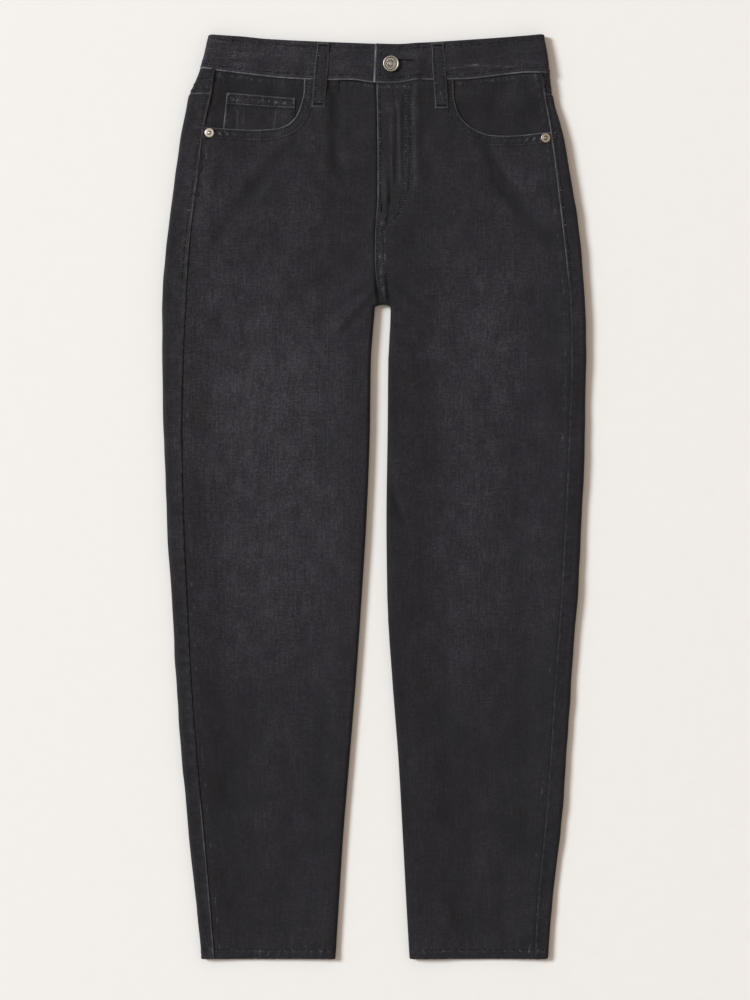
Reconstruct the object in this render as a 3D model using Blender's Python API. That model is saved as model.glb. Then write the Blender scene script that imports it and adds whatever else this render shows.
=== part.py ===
"""Tapered five-pocket jeans, laid flat and face up.

Right and left are the wearer's: the right leg lies at -X, the left leg at +X,
the waist points to +Y and the front faces +Z.  The underside rests on z = 0.

Each panel is a wall built round a mid-surface.  The garment is a flattened
tube: a bottom layer that lies on the surface, a rounded fold along each outer
edge, and a top layer that lies on the bottom one and rises towards the folds.
The side seam lies on top, a finger's width in from the outer fold, and the
inseam runs along the inner fold.

Lengths below are in millimetres; MM turns them into metres.
"""

from math import sin, cos, pi, sqrt, hypot, atan2, exp

import bmesh
import bpy
from mathutils import Vector

for old in list(bpy.data.objects):
    bpy.data.objects.remove(old, do_unlink=True)

MM = 0.001

# ----------------------------------------------------------------- sizes
WALL = 1.2              # denim
BAND_WALL = 2.4         # waistband, two layers of denim
POCKET_WALL = 1.0       # pocket sheets
LOOP_WALL = 1.4         # folded belt loop
GAP = 0.3               # between neighbouring pieces
HEM_HEIGHT = 12.5       # turned hem at the leg ends
HEM_EXTRA = 1.2         # second layer inside the hem
FOLD_REACH = 4.4        # how far in a folded edge starts to round
PUFF_REACH = 60.0       # how far the top layer slopes down from a fold

HEM_END = -503.3        # leg ends
Y_FORK = 209.8          # underside of the crotch
X_FORK = 10.8
FORK_DEPTH = 8.0        # depth of the rounded end of the gap between the legs
Y_TRIM = 470.0          # panels are trimmed to the band seam from here

LOOP_WIDTH = 12.6
LOOP_TAIL = 29.0        # length of a belt loop below the waistband

FLY_UNDER = 14.0        # right front carried under the left one
FLY_FOOT = 318.0        # foot of the fly opening
FLY_LIFT = 1.5          # left front riding over the right one
BAND_LAP = 38.0         # right band end carried under the left one
BAND_END = -0.2         # left band end, the one on top
BAND_RISE = 0.7         # the thicker band stands this much over the panels

BUTTON = dict(x=18.4, y=472.0, radius=8.7, rise=3.0, shank=1.8, plate=4.2)
BUTTONHOLE = dict(x=42.9, y=476.2, width=1.8, eye=2.7)
RIVET = dict(radius=5.0, rise=1.5, post=1.2, burr=3.6)
RIVET_AT = {"right": (-179.3, 396.9), "left": (186.8, 391.2)}

# Outline of each side: height along the leg, outer fold, side seam, inner fold.
OUTLINE_COLUMNS = ("y", "outer", "seam", "inner")
OUTLINE = {
    "right": (
        (HEM_END, -188.1, -174.5, -42.1),
        (-450.0, -193.1, -178.9, -38.8),
        (-373.0, -201.7, -185.6, -33.9),
        (-286.0, -209.1, -193.6, -26.8),
        (-199.0, -215.5, -200.3, -19.7),
        (-112.0, -221.1, -204.6, -13.7),
        (-25.0, -225.6, -208.5, -8.3),
        (74.0, -229.5, -210.5, -4.5),
        (150.0, -231.5, -208.9, -3.4),
        (201.8, -230.7, -206.5, 0.6),
        (259.0, -228.3, -203.4, 3.0),
        (302.0, -223.9, -199.2, 3.0),
        (346.0, -217.8, -193.3, 3.0),
        (401.0, -209.3, -186.3, 3.0),
        (440.0, -200.3, -177.8, 3.0),
        (467.8, -189.6, -172.0, 3.0),
        (503.0, -180.5, -165.0, 3.0),
    ),
    "left": (
        (HEM_END, 189.2, 175.9, 38.6),
        (-450.0, 193.9, 178.4, 35.5),
        (-373.0, 202.5, 185.7, 31.4),
        (-286.0, 209.2, 192.7, 26.5),
        (-199.0, 215.4, 197.9, 19.8),
        (-112.0, 221.3, 204.3, 14.4),
        (-25.0, 226.8, 209.0, 13.4),
        (74.0, 230.5, 213.2, 14.7),
        (150.0, 231.5, 215.4, 15.4),
        (201.8, 230.6, 214.6, 17.9),
        (259.0, 227.0, 209.7, 4.0),
        (302.0, 222.5, 204.9, 4.0),
        (346.0, 214.8, 199.6, 4.0),
        (401.0, 204.3, 192.2, 4.0),
        (440.0, 193.9, 185.2, 4.0),
        (463.0, 191.3, 180.4, 4.0),
        (503.3, 185.6, 175.0, 4.0),
    ),
}

# Mid-surface levels: bottom layer, middle of the top layer, and the top layer
# where it meets the outer and the inner fold.
LEVEL_COLUMNS = ("y", "bottom", "middle", "outer", "inner")
LEVELS = (
    (HEM_END, 0.6, 4.7, 7.0, 6.9),
    (-488.0, 0.6, 4.7, 7.0, 6.9),
    (-460.0, 0.6, 3.6, 7.0, 6.9),
    (-400.0, 0.6, 2.9, 7.2, 7.0),
    (-200.0, 0.6, 2.9, 8.0, 7.6),
    (0.0, 0.6, 3.1, 9.0, 8.6),
    (150.0, 0.6, 3.6, 9.8, 9.4),
    (240.0, 2.1, 4.4, 10.4, 9.0),
    (300.0, 2.1, 4.8, 10.6, 9.0),
    (400.0, 2.1, 5.0, 10.4, 9.0),
    (440.0, 2.4, 5.3, 10.2, 9.0),
    (455.0, 2.7, 5.7, 10.0, 9.0),
    (472.0, 2.7, 5.8, 9.8, 9.0),
    (503.3, 2.7, 5.8, 9.2, 9.0),
)

# Largest folds of the front: a ridge from one point to the other.
FOLD_COLUMNS = ("x0", "y0", "x1", "y1", "height", "width")
FOLDS = (
    (143.0, 379.0, 203.0, 270.0, 1.2, 15.0),
    (88.0, 379.0, 148.0, 270.0, 1.0, 17.0),
    (-92.0, 379.0, -152.0, 259.0, 0.9, 17.0),
    (-24.0, 422.0, -26.0, 270.0, 0.8, 14.0),
    (-4.0, 217.0, -59.0, 166.0, 1.1, 13.0),
    (22.0, 217.0, 72.0, 161.0, 1.1, 13.0),
    (-135.0, 182.0, -146.0, -24.0, 1.0, 26.0),
    (115.0, 150.0, 126.0, -24.0, 0.9, 26.0),
    (-81.0, -68.0, -103.0, -221.0, 0.8, 24.0),
    (83.0, -68.0, 105.0, -243.0, 0.9, 24.0),
)

# Centre seam of the front: the fly edge, then the seam down to the fork.
CENTRE_COLUMNS = ("y", "x")
CENTRE = (
    (Y_FORK, X_FORK), (226.0, 4.6), (264.0, 1.6), (300.0, 2.4),
    (324.0, 4.2), (378.0, 4.4), (452.0, 3.2),
)

# Seam between the waistband and the front, and the waist edge, along x.
BAND_LOWER_COLUMNS = ("x", "y")
BAND_LOWER = (
    (-189.6, 467.8), (-150.0, 463.4), (-92.0, 457.3), (-54.0, 455.7),
    (-25.0, 456.0), (-4.0, 453.4), (12.0, 452.2), (28.0, 452.8),
    (48.0, 455.8), (97.0, 456.6), (149.0, 462.2), (166.0, 463.4),
    (191.3, 463.0),
)
BAND_UPPER_COLUMNS = ("x", "y")
BAND_UPPER = (
    (-180.5, 503.0), (-144.0, 501.2), (-118.0, 498.8), (-66.0, 496.1),
    (-13.0, 494.0), (26.0, 492.8), (52.0, 494.6), (78.0, 496.2),
    (131.0, 499.7), (185.6, 503.3),
)
# Places along the front where the band and the panels under it share a point.
BAND_STATIONS = (-172.0, -150.0, -120.0, -92.0, -72.0, -54.0, -38.0, -25.0,
                 -12.0, -4.0, 3.0, 12.0, 22.0, 30.0, 38.0, 48.0, 62.0, 80.0,
                 97.0, 123.0, 149.0, 166.0, 178.0)

# Pocket mouths, from the waistband down and round to the side seam.
MOUTH_COLUMNS = ("x", "y")
MOUTH = {
    "right": ((-75.4, 463.0), (-76.6, 440.9), (-79.5, 427.8), (-85.3, 414.6),
              (-95.6, 405.1), (-110.2, 401.2), (-130.9, 400.3),
              (-157.1, 401.2), (-178.9, 402.3), (-192.0, 402.8)),
    "left": ((86.0, 463.0), (86.4, 440.3), (89.1, 425.7), (95.4, 413.2),
             (104.8, 403.8), (115.1, 398.1), (127.6, 394.6),
             (144.3, 393.8), (165.2, 395.0), (181.9, 396.5), (198.0, 397.2)),
}

# Belt loops on the front: centre at the top and at the foot.
FRONT_LOOP_COLUMNS = ("side", "x_top", "y_top", "x_foot", "y_foot")
FRONT_LOOPS = (
    ("right", -55.2, 495.0, -60.8, 426.0),
    ("left", 69.1, 495.0, 73.9, 424.6),
)
# Belt loops on the back: centre line and foot.
BACK_LOOP_COLUMNS = ("name", "x", "y_top", "y_foot")
BACK_LOOPS = (
    ("right", -112.0, 496.0, 444.0),
    ("centre", 3.0, 491.0, 436.0),
    ("left", 116.0, 496.0, 444.0),
)

COIN = dict(top_outer=(-159.8, 440.3), top_inner=(-86.4, 434.4),
            foot_inner=(-89.5, 378.0), foot_outer=(-166.5, 378.0))

BACK_POCKET = dict(centre=106.0, top=402.0, width_top=142.0, width_foot=124.0,
                   side=116.0, point=24.0, lean=0.10)

YOKE_CENTRE = 398.0     # yoke seam at the centre back
YOKE_SIDE = {"right": 439.6, "left": 438.8}
BAND_BACK_CENTRE = 460.0
BACK_CENTRE_TOP = 3.0   # x of the centre back seam at the waistband

SIGN = {"right": -1.0, "left": 1.0}
Y_MID = Y_FORK + WALL / 2       # mid-surface under the fork


# ------------------------------------------------------------ small maths
def spline(rows, column=1):
    """Smooth curve through a table's rows that never overshoots them."""
    rows = sorted(rows)
    a = [row[0] for row in rows]
    b = [row[column] for row in rows]
    step = [a[i + 1] - a[i] for i in range(len(a) - 1)]
    rate = [(b[i + 1] - b[i]) / step[i] for i in range(len(step))]
    slope = [rate[0]] + [0.0] * (len(a) - 2) + [rate[-1]]
    for i in range(1, len(a) - 1):
        if rate[i - 1] * rate[i] > 0.0:
            w0 = 2.0 * step[i] + step[i - 1]
            w1 = step[i] + 2.0 * step[i - 1]
            slope[i] = (w0 + w1) / (w0 / rate[i - 1] + w1 / rate[i])

    def value(t):
        t = min(max(t, a[0]), a[-1])
        i = 0
        while i < len(step) - 1 and t > a[i + 1]:
            i += 1
        u = (t - a[i]) / step[i]
        return ((2 * u ** 3 - 3 * u ** 2 + 1) * b[i]
                + (u ** 3 - 2 * u ** 2 + u) * step[i] * slope[i]
                + (3 * u ** 2 - 2 * u ** 3) * b[i + 1]
                + (u ** 3 - u ** 2) * step[i] * slope[i + 1])
    return value


def ramp(t, a, b):
    """0 at a, 1 at b, with a soft start and end."""
    t = min(max((t - a) / (b - a), 0.0), 1.0)
    return t * t * (3.0 - 2.0 * t)


def mix(a, b, t):
    return a + (b - a) * t


outer_x = {s: spline(OUTLINE[s], 1) for s in SIGN}
seam_x = {s: spline(OUTLINE[s], 2) for s in SIGN}
table_inner = {s: spline(OUTLINE[s], 3) for s in SIGN}
bottom_z = spline(LEVELS, 1)
middle_z = spline(LEVELS, 2)
outer_z = spline(LEVELS, 3)
inner_z = spline(LEVELS, 4)
centre_x = spline(CENTRE)
lower_y = spline(BAND_LOWER)
upper_y = spline(BAND_UPPER)


def inner_x(side, y):
    """Mid-surface at the inner fold of a leg, rounding into the fork."""
    if y >= Y_MID:
        return X_FORK
    depth = (Y_MID - y) / (FORK_DEPTH + WALL / 2)
    if depth >= 1.0:
        return table_inner[side](y) + SIGN[side] * WALL / 2
    reach = (table_inner[side](Y_FORK - FORK_DEPTH) + SIGN[side] * WALL / 2
             - X_FORK)
    return X_FORK + reach * sqrt(1.0 - (1.0 - depth) ** 2)


def fork_line():
    line = {}
    for side in SIGN:
        ys = [Y_MID - (FORK_DEPTH + WALL / 2) * (1 - cos(k * pi / 16))
              for k in range(9)]
        ys += [Y_FORK - FORK_DEPTH - 6 - 24 * k for k in range(32)]
        line[side] = [(inner_x(side, y), y) for y in ys]
    return line


FORK_LINE = fork_line()


def to_fork(side, x, y):
    """Distance from the inner fold's mid-surface, and the way out to it."""
    best = 1e9
    out = (0.0, -1.0)
    line = FORK_LINE[side]
    if y >= Y_MID:
        line = list(reversed(FORK_LINE["right"][:9])) + FORK_LINE["left"][:9]
    for (ax, ay), (bx, by) in zip(line, line[1:]):
        ex, ey = bx - ax, by - ay
        k = ((x - ax) * ex + (y - ay) * ey) / max(ex * ex + ey * ey, 1e-9)
        k = min(max(k, 0.0), 1.0)
        dx, dy = ax + k * ex - x, ay + k * ey - y
        d = hypot(dx, dy)
        if d < best:
            best = d
            if d > 1e-6:
                out = (dx / d, dy / d)
    return best, out


def falloff(d):
    t = d / PUFF_REACH
    return (1.0 - t * t) ** 2 if t < 1.0 else 0.0


def fold_rise(x, y):
    rise = 0.0
    for x0, y0, x1, y1, height, width in FOLDS:
        ex, ey = x1 - x0, y1 - y0
        length = hypot(ex, ey)
        along = ((x - x0) * ex + (y - y0) * ey) / length
        across = ((x - x0) * ey - (y - y0) * ex) / length
        end = max(-along, along - length, 0.0)
        rise += height * exp(-(across / width) ** 2 - (end / (2 * width)) ** 2)
    return rise


def base_z(side, x, y):
    """Mid-surface of the top layer before any pocket or fly lifts it."""
    m = middle_z(y) + fold_rise(x, y)
    d_out = abs(outer_x[side](y) - x)
    d_in = to_fork(side, x, y)[0]
    return (m + (outer_z(y) - m) * falloff(d_out)
            + (inner_z(y) - m) * falloff(d_in))


def mouth_lift(side, x, y):
    """Room under the front for the pocket sheets."""
    full = 1.4
    if side == "right":
        full = mix(2.7, 1.4, ramp(y, 438.0, 450.0))
    across = ramp(abs(x), 24.0, 55.0)
    return full * across * ramp(y, 236.0, 300.0)


def fly_lift(x, y):
    """Left front riding over the right front along the fly."""
    edge = centre_x(max(y, FLY_FOOT))
    across = 1.0 - ramp(x - edge, 38.0, 62.0)
    rise = FLY_LIFT + 1.1 * ramp(y, 425.0, 455.0)
    return rise * across * ramp(y, 268.0, 299.0)


def front_z(side, x, y):
    b = base_z(side, x, y)
    floor = bottom_z(y)
    q = min(to_fork(side, x, y)[0] / FOLD_REACH, 1.0)
    z = floor + (b - floor) * (0.5 + 0.5 * sqrt(1.0 - (1.0 - q) ** 2))
    z += mouth_lift(side, x, y)
    if side == "left":
        z += fly_lift(x, y)
    return z


def back_z(side, x, y):
    floor = bottom_z(y)
    q = min(to_fork(side, x, y)[0] / FOLD_REACH, 1.0)
    if q >= 1.0:
        return floor
    b = base_z(side, x, y)
    return floor + (b - floor) * (0.5 - 0.5 * sqrt(1.0 - (1.0 - q) ** 2))


# ------------------------------------------------------------- mesh tools
def material(name, colour, roughness, metallic=0.0):
    m = bpy.data.materials.new(name)
    m.use_nodes = True
    node = m.node_tree.nodes["Principled BSDF"]
    node.inputs["Base Color"].default_value = (*colour, 1.0)
    node.inputs["Roughness"].default_value = roughness
    node.inputs["Metallic"].default_value = metallic
    return m


def finish(bm, name, mat, smooth=True, angle=0.6):
    bmesh.ops.triangulate(bm, faces=bm.faces[:], quad_method='FIXED')
    if bm.calc_volume(signed=True) < 0.0:
        bmesh.ops.reverse_faces(bm, faces=bm.faces[:])
    mesh = bpy.data.meshes.new(name)
    bm.to_mesh(mesh)
    bm.free()
    if smooth:
        mesh.shade_smooth()
        mesh.set_sharp_from_angle(angle=angle)
    ob = bpy.data.objects.new(name, mesh)
    bpy.context.scene.collection.objects.link(ob)
    ob.data.materials.append(material("mat_" + name, *mat))
    return ob


def grid_normals(grid):
    rows, cols = len(grid), len(grid[0])
    out = []
    for j in range(rows):
        line = []
        for i in range(cols):
            a = grid[min(j + 1, rows - 1)][i] - grid[max(j - 1, 0)][i]
            b = grid[j][min(i + 1, cols - 1)] - grid[j][max(i - 1, 0)]
            line.append(a.cross(b).normalized())
        out.append(line)
    return out


def sheet(name, grid, mat, outside, inside, normals=None):
    """Closed wall round a grid of mid-surface points.

    normals point out of the garment; outside and inside are the wall on each
    side of the mid-surface, inside one value or one for each point.
    """
    rows, cols = len(grid), len(grid[0])
    normals = normals or grid_normals(grid)
    bm = bmesh.new()
    skin = []
    for way in (1.0, -1.0):
        layer = []
        for j in range(rows):
            line = []
            for i in range(cols):
                t = outside
                if way < 0.0:
                    t = inside if isinstance(inside, float) else inside[j][i]
                line.append(bm.verts.new((grid[j][i]
                                          + normals[j][i] * way * t) * MM))
            layer.append(line)
        skin.append(layer)
    top, low = skin
    for j in range(rows - 1):
        for i in range(cols - 1):
            bm.faces.new((top[j][i], top[j][i + 1], top[j + 1][i + 1],
                          top[j + 1][i]))
            bm.faces.new((low[j][i], low[j + 1][i], low[j + 1][i + 1],
                          low[j][i + 1]))
    rim = [(0, i) for i in range(cols)]
    rim += [(j, cols - 1) for j in range(1, rows)]
    rim += [(rows - 1, i) for i in range(cols - 2, -1, -1)]
    rim += [(j, 0) for j in range(rows - 2, 0, -1)]
    for (j, i), (n, m) in zip(rim, rim[1:] + rim[:1]):
        bm.faces.new((top[n][m], top[j][i], low[j][i], low[n][m]))
    return finish(bm, name, mat)


def prism(name, points, z0, z1, mat=((0.5, 0.5, 0.5), 0.8)):
    """Flat outline raised from z0 to z1."""
    bm = bmesh.new()
    low = [bm.verts.new(Vector((x, y, z0)) * MM) for x, y in points]
    top = [bm.verts.new(Vector((x, y, z1)) * MM) for x, y in points]
    bm.faces.new(low)
    bm.faces.new(top[::-1])
    for k in range(len(points)):
        n = (k + 1) % len(points)
        bm.faces.new((low[n], low[k], top[k], top[n]))
    return finish(bm, name, mat, smooth=False)


def turned(name, profile, segments, at, axis, mat):
    """Solid of revolution; the profile's radii and heights start and end on
    the axis."""
    axis = Vector(axis).normalized()
    u = axis.orthogonal().normalized()
    v = axis.cross(u)
    at = Vector(at)
    bm = bmesh.new()
    first = bm.verts.new((at + axis * profile[0][1]) * MM)
    last = bm.verts.new((at + axis * profile[-1][1]) * MM)
    rings = []
    for r, h in profile[1:-1]:
        rings.append([bm.verts.new((at + axis * h
                                    + u * (r * cos(2 * pi * k / segments))
                                    + v * (r * sin(2 * pi * k / segments)))
                                   * MM) for k in range(segments)])
    for k in range(segments):
        n = (k + 1) % segments
        bm.faces.new((first, rings[0][n], rings[0][k]))
        bm.faces.new((last, rings[-1][k], rings[-1][n]))
        for a, b in zip(rings, rings[1:]):
            bm.faces.new((a[k], a[n], b[n], b[k]))
    return finish(bm, name, mat)


def cut(ob, tool, how='DIFFERENCE'):
    tool.hide_render = True
    tool.display_type = 'WIRE'
    tool.hide_set(True)
    m = ob.modifiers.new("cut_" + tool.name, 'BOOLEAN')
    m.operation = how
    m.solver = 'EXACT'
    m.object = tool


DENIM = ((0.035, 0.032, 0.038), 0.85)
DENIM_DARK = ((0.027, 0.025, 0.030), 0.85)
DENIM_BAND = ((0.037, 0.034, 0.040), 0.85)
METAL = ((0.55, 0.50, 0.45), 0.35, 1.0)
BRASS = ((0.62, 0.50, 0.36), 0.35, 1.0)
ZIP = ((0.05, 0.05, 0.05), 0.6)

# ----------------------------------------------------------------- panels
LEG_ROWS = (HEM_END, HEM_END + HEM_HEIGHT, HEM_END + HEM_HEIGHT + 3.0, -440.0,
            -350.0, -250.0, -150.0, -40.0, 60.0, 130.0, 172.0, 192.0,
            Y_MID - 8.6, Y_MID - 5.2, Y_MID - 2.6, Y_MID - 0.8)
HIP_ROWS = (Y_MID, Y_MID + 0.6, Y_MID + 2.2, Y_MID + 4.4, 226.0,
            246.0, 268.0, 284.0, 300.0, FLY_FOOT, 345.0, 372.0, 400.0, 425.0,
            442.0)
SLOPE = (0.0, 0.134, 0.5, 1.0)      # across a fold, as shares of FOLD_REACH


def inside_wall(side, p):
    """Wall inside the mid-surface: doubled within the hem, off the folds."""
    hem = 1.0 - ramp(p.y, HEM_END + HEM_HEIGHT, HEM_END + HEM_HEIGHT + 3.0)
    off = min(abs(p.x - outer_x[side](p.y)), abs(p.x - inner_x(side, p.y)))
    return WALL / 2 + HEM_EXTRA * hem * ramp(off, 4.0, 12.0)


def fold_normal(side, p, way):
    """Outward normal of the top (way 1) or bottom (way -1) layer, turning to
    horizontal along the inner fold."""
    d, out = to_fork(side, p.x, p.y)
    if d < 0.05:
        s = SIGN[side]
        d, out = to_fork(side, p.x + s * 1.0,
                         p.y + (1.0 if p.y > Y_MID - 3.0 else 0.0))
        d = 0.0
    q = min(d / FOLD_REACH, 1.0)
    up = sqrt(1.0 - (1.0 - q) ** 2)
    r = (base_z(side, p.x, p.y) - bottom_z(p.y)) / 2.0
    gx = gy = 0.0
    if way > 0.0 and q > 0.5:
        h = 0.5
        gx = (front_z(side, p.x + h, p.y)
              - front_z(side, p.x - h, p.y)) * (q == 1.0)
        gy = (front_z(side, p.x, p.y + h)
              - front_z(side, p.x, p.y - h)) * (q == 1.0)
    lean = (1.0 - q) * r / FOLD_REACH
    return Vector((out[0] * lean - gx * up, out[1] * lean - gy * up,
                   way * up)).normalized()


def front_offsets(side, y, width):
    """Columns of a front panel, measured from its centre or inner edge."""
    t = ramp(y, Y_FORK + 4.0, 262.0)
    fold = [k * FOLD_REACH for k in SLOPE] + [22.0, 46.0]
    hip = [0.0, 7.0, 18.0, 38.0, 62.0, 88.0]
    near = [mix(a, b, t) for a, b in zip(fold, hip)]
    far = [width - 46.0, width - 22.0, width]
    return near + [(near[-1] + far[0]) / 2.0] + far


def front_edge(side, y):
    """Centre edge of a front panel's mid-surface."""
    s = SIGN[side]
    if y < Y_MID:
        return inner_x(side, y)
    edge = centre_x(y) + s * GAP / 2
    if side == "right":
        edge += FLY_UNDER * ramp(y, 301.0, FLY_FOOT)
    return edge


def front_grid(side):
    s = SIGN[side]
    grid = []
    for y in LEG_ROWS + HIP_ROWS + (458.0, Y_TRIM):
        x0 = front_edge(side, y)
        x1 = seam_x[side](y) - s * GAP / 2
        row = []
        for k, off in enumerate(front_offsets(side, y, abs(x1 - x0))):
            x = x0 + s * off
            z = front_z(side, x, y)
            if k == 0 and y <= Y_MID:
                z += 0.2
            row.append(Vector((x, y, z)))
        grid.append(row if side == "left" else row[::-1])
    return grid


def upward(grid, normals):
    """Turn a sheet's normals so that they leave the garment at the top."""
    mid = normals[len(grid) // 2][len(grid[0]) // 2]
    if mid.z < 0.0:
        return [[-n for n in line] for line in normals]
    return normals


panels = {}
fronts = {}
for side in ("right", "left"):
    g = front_grid(side)
    nrm = [[fold_normal(side, p, 1.0) for p in row] for row in g]
    fronts[side] = (g, nrm)
    panels["front_" + side] = sheet(
        "front_" + side, g, DENIM, WALL / 2,
        [[inside_wall(side, p) for p in row] for row in g], nrm)


def outer_fold(side, y, wall, rise=0.0):
    """Points round the outer fold from the bottom layer to the top one."""
    s = SIGN[side]
    xo = outer_x[side](y) - s * wall / 2
    x_in = xo - s * FOLD_REACH
    low = bottom_z(y)
    high = base_z(side, x_in, y) + rise
    r = (high - low) / 2.0
    points = []
    for k in range(5):
        a = pi * k / 4.0
        points.append(Vector((xo - s * FOLD_REACH * (1.0 - sin(a)), y,
                              low + r - r * cos(a))))
    return points


def back_edge(side, y):
    s = SIGN[side]
    if y < Y_MID:
        return inner_x(side, y)
    return mix(X_FORK, BACK_CENTRE_TOP,
               (y - Y_FORK) / (BAND_BACK_CENTRE - Y_FORK)) + s * GAP / 2


def back_row(side, y, top_centre=None, top_side=None, share=0.0):
    """One row of a back panel or yoke, from the centre round to the side seam.

    With top_centre and top_side given, share says how far the row lies
    from y towards that slanting line.
    """
    s = SIGN[side]

    def at(u):
        if top_centre is None:
            return y
        return mix(y, mix(top_centre, top_side, u), share)

    def inner_to_fold(u):
        yy = at(u)
        x0 = back_edge(side, yy)
        x1 = outer_x[side](yy) - s * (WALL / 2 + FOLD_REACH)
        return x0, x1, yy

    row = []
    t = ramp(y, Y_FORK + 4.0, 262.0)
    for k, a in enumerate(SLOPE):
        off = mix(a * FOLD_REACH, k * 9.0, t)
        x0, x1, yy = inner_to_fold(off / 190.0)
        x = x0 + s * off
        z = back_z(side, x, yy)
        if k == 0 and yy <= Y_MID:
            z -= 0.2
        row.append(Vector((x, yy, z)))
    for u in (0.42, 0.72):
        x0, x1, yy = inner_to_fold(u)
        row.append(Vector((mix(x0, x1, u), yy, bottom_z(yy))))
    yy = at(1.0)
    fold = outer_fold(side, yy, WALL)
    row += fold
    xs = seam_x[side](yy) + s * GAP / 2
    for u in (0.5, 1.0):
        x = mix(fold[-1].x, xs, u)
        row.append(Vector((x, yy, base_z(side, x, yy))))
    return row


def downward_first(grid, normals):
    """Normals leave the garment: down on the bottom layer, up on the strip."""
    mid = normals[len(grid) // 2][5]
    if mid.z > 0.0:
        return [[-n for n in line] for line in normals]
    return normals


BACK_ROWS = (HIP_ROWS[:12])
for side in ("right", "left"):
    g = [back_row(side, y) for y in LEG_ROWS + BACK_ROWS]
    for share in (0.55, 1.0):
        g.append(back_row(side, 372.0, YOKE_CENTRE - GAP / 2,
                          YOKE_SIDE[side] - GAP / 2, share))
    nrm = downward_first(g, grid_normals(g))
    for row, nrow in zip(g, nrm):
        for k in range(len(SLOPE)):
            nrow[k] = fold_normal(side, row[k], -1.0)
    panels["back_" + side] = sheet(
        "back_" + side, g, DENIM_DARK, WALL / 2,
        [[inside_wall(side, p) for p in row] for row in g], nrm)

# ------------------------------------------------------------------ yokes
for side in ("right", "left"):
    s = SIGN[side]
    band_side = lower_y(OUTLINE[side][-2][1])
    rows = []
    for share in (0.0, 0.5, 1.0):
        centre = mix(YOKE_CENTRE + GAP / 2, BAND_BACK_CENTRE - GAP, share)
        edge = mix(YOKE_SIDE[side] + GAP / 2, band_side - GAP, share)
        rows.append(back_row(side, 372.0, centre, edge, 1.0))
    # on top of the fold the yoke's upper edge follows the band seam
    for p in rows[-1][-2:]:
        p.y = lower_y(p.x) - GAP - 0.1
    nrm = downward_first(rows, grid_normals(rows))
    sheet("yoke_" + side, rows, DENIM_DARK, WALL / 2, WALL / 2, nrm)

# -------------------------------------------------------------- waistband
SIDE_LOWER = {s: OUTLINE[s][-2][0] for s in SIGN}
SIDE_UPPER = {s: OUTLINE[s][-1][0] for s in SIGN}


def band_lap(x):
    """Left band end riding over the right one."""
    return (BAND_WALL + GAP) * (1.0 - ramp(x, 41.0, 61.0))


def band_x(x_low, v):
    """Carry a place on the lower seam up the band, whose sides lean in."""
    low = [OUTLINE[s][-2][1] for s in ("right", "left")]
    top = [OUTLINE[s][-1][1] for s in ("right", "left")]
    u = (x_low - low[0]) / (low[1] - low[0])
    return mix(x_low, mix(top[0], top[1], u), v)


def band_front(x_low, v, over):
    x = band_x(x_low, v)
    y = mix(lower_y(x_low), upper_y(x), v)
    side = "right" if x < X_FORK else "left"
    z = base_z(side, x, y) + BAND_RISE + (band_lap(x) if over else 0.0)
    return Vector((x, y, z))


def band_row(v):
    row = [band_front(x, v, False) for x in reversed(BAND_STATIONS)
           if x <= BAND_LAP]
    for side, order in (("right", -1), ("left", 1)):
        y = mix(SIDE_LOWER[side], SIDE_UPPER[side], v)
        fold = outer_fold(side, y, BAND_WALL, BAND_RISE)
        if side == "right":
            row += fold[::-1]
            for k in range(1, 10):
                u = k / 10.0
                x0 = band_x(-180.0, v)
                x1 = band_x(182.0, v)
                x = mix(x0, x1, u)
                if u <= 0.5:
                    low = mix(SIDE_LOWER["right"], BAND_BACK_CENTRE, u * 2)
                else:
                    low = mix(BAND_BACK_CENTRE, SIDE_LOWER["left"], u * 2 - 1)
                dip = 1.2 * (1.0 - (2 * u - 1.0) ** 2)
                row.append(Vector((x, mix(low, upper_y(x) - dip, v),
                                   bottom_z(480.0))))
        else:
            row += fold
    row += [band_front(x, v, True) for x in reversed(BAND_STATIONS)
            if x >= 3.0]
    row.append(band_front(BAND_END, v, True))
    return row


g = [band_row(v) for v in (0.0, 0.5, 1.0)]
nrm = grid_normals(g)
if nrm[1][5].z < 0.0:
    nrm = [[-n for n in line] for line in nrm]
band = sheet("waistband", g, DENIM_BAND, BAND_WALL / 2, BAND_WALL / 2, nrm)

# trim the fronts and the pocket sheets to the band seam
trim_line = [(-215.0, lower_y(-215.0) - GAP)]
trim_line += [(x, lower_y(x) - GAP) for x in BAND_STATIONS]
trim_line += [(215.0, lower_y(215.0) - GAP)]
band_trim = prism("trim_band_seam", trim_line
                  + [(215.0, 520.0), (-215.0, 520.0)], -5.0, 40.0)

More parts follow.
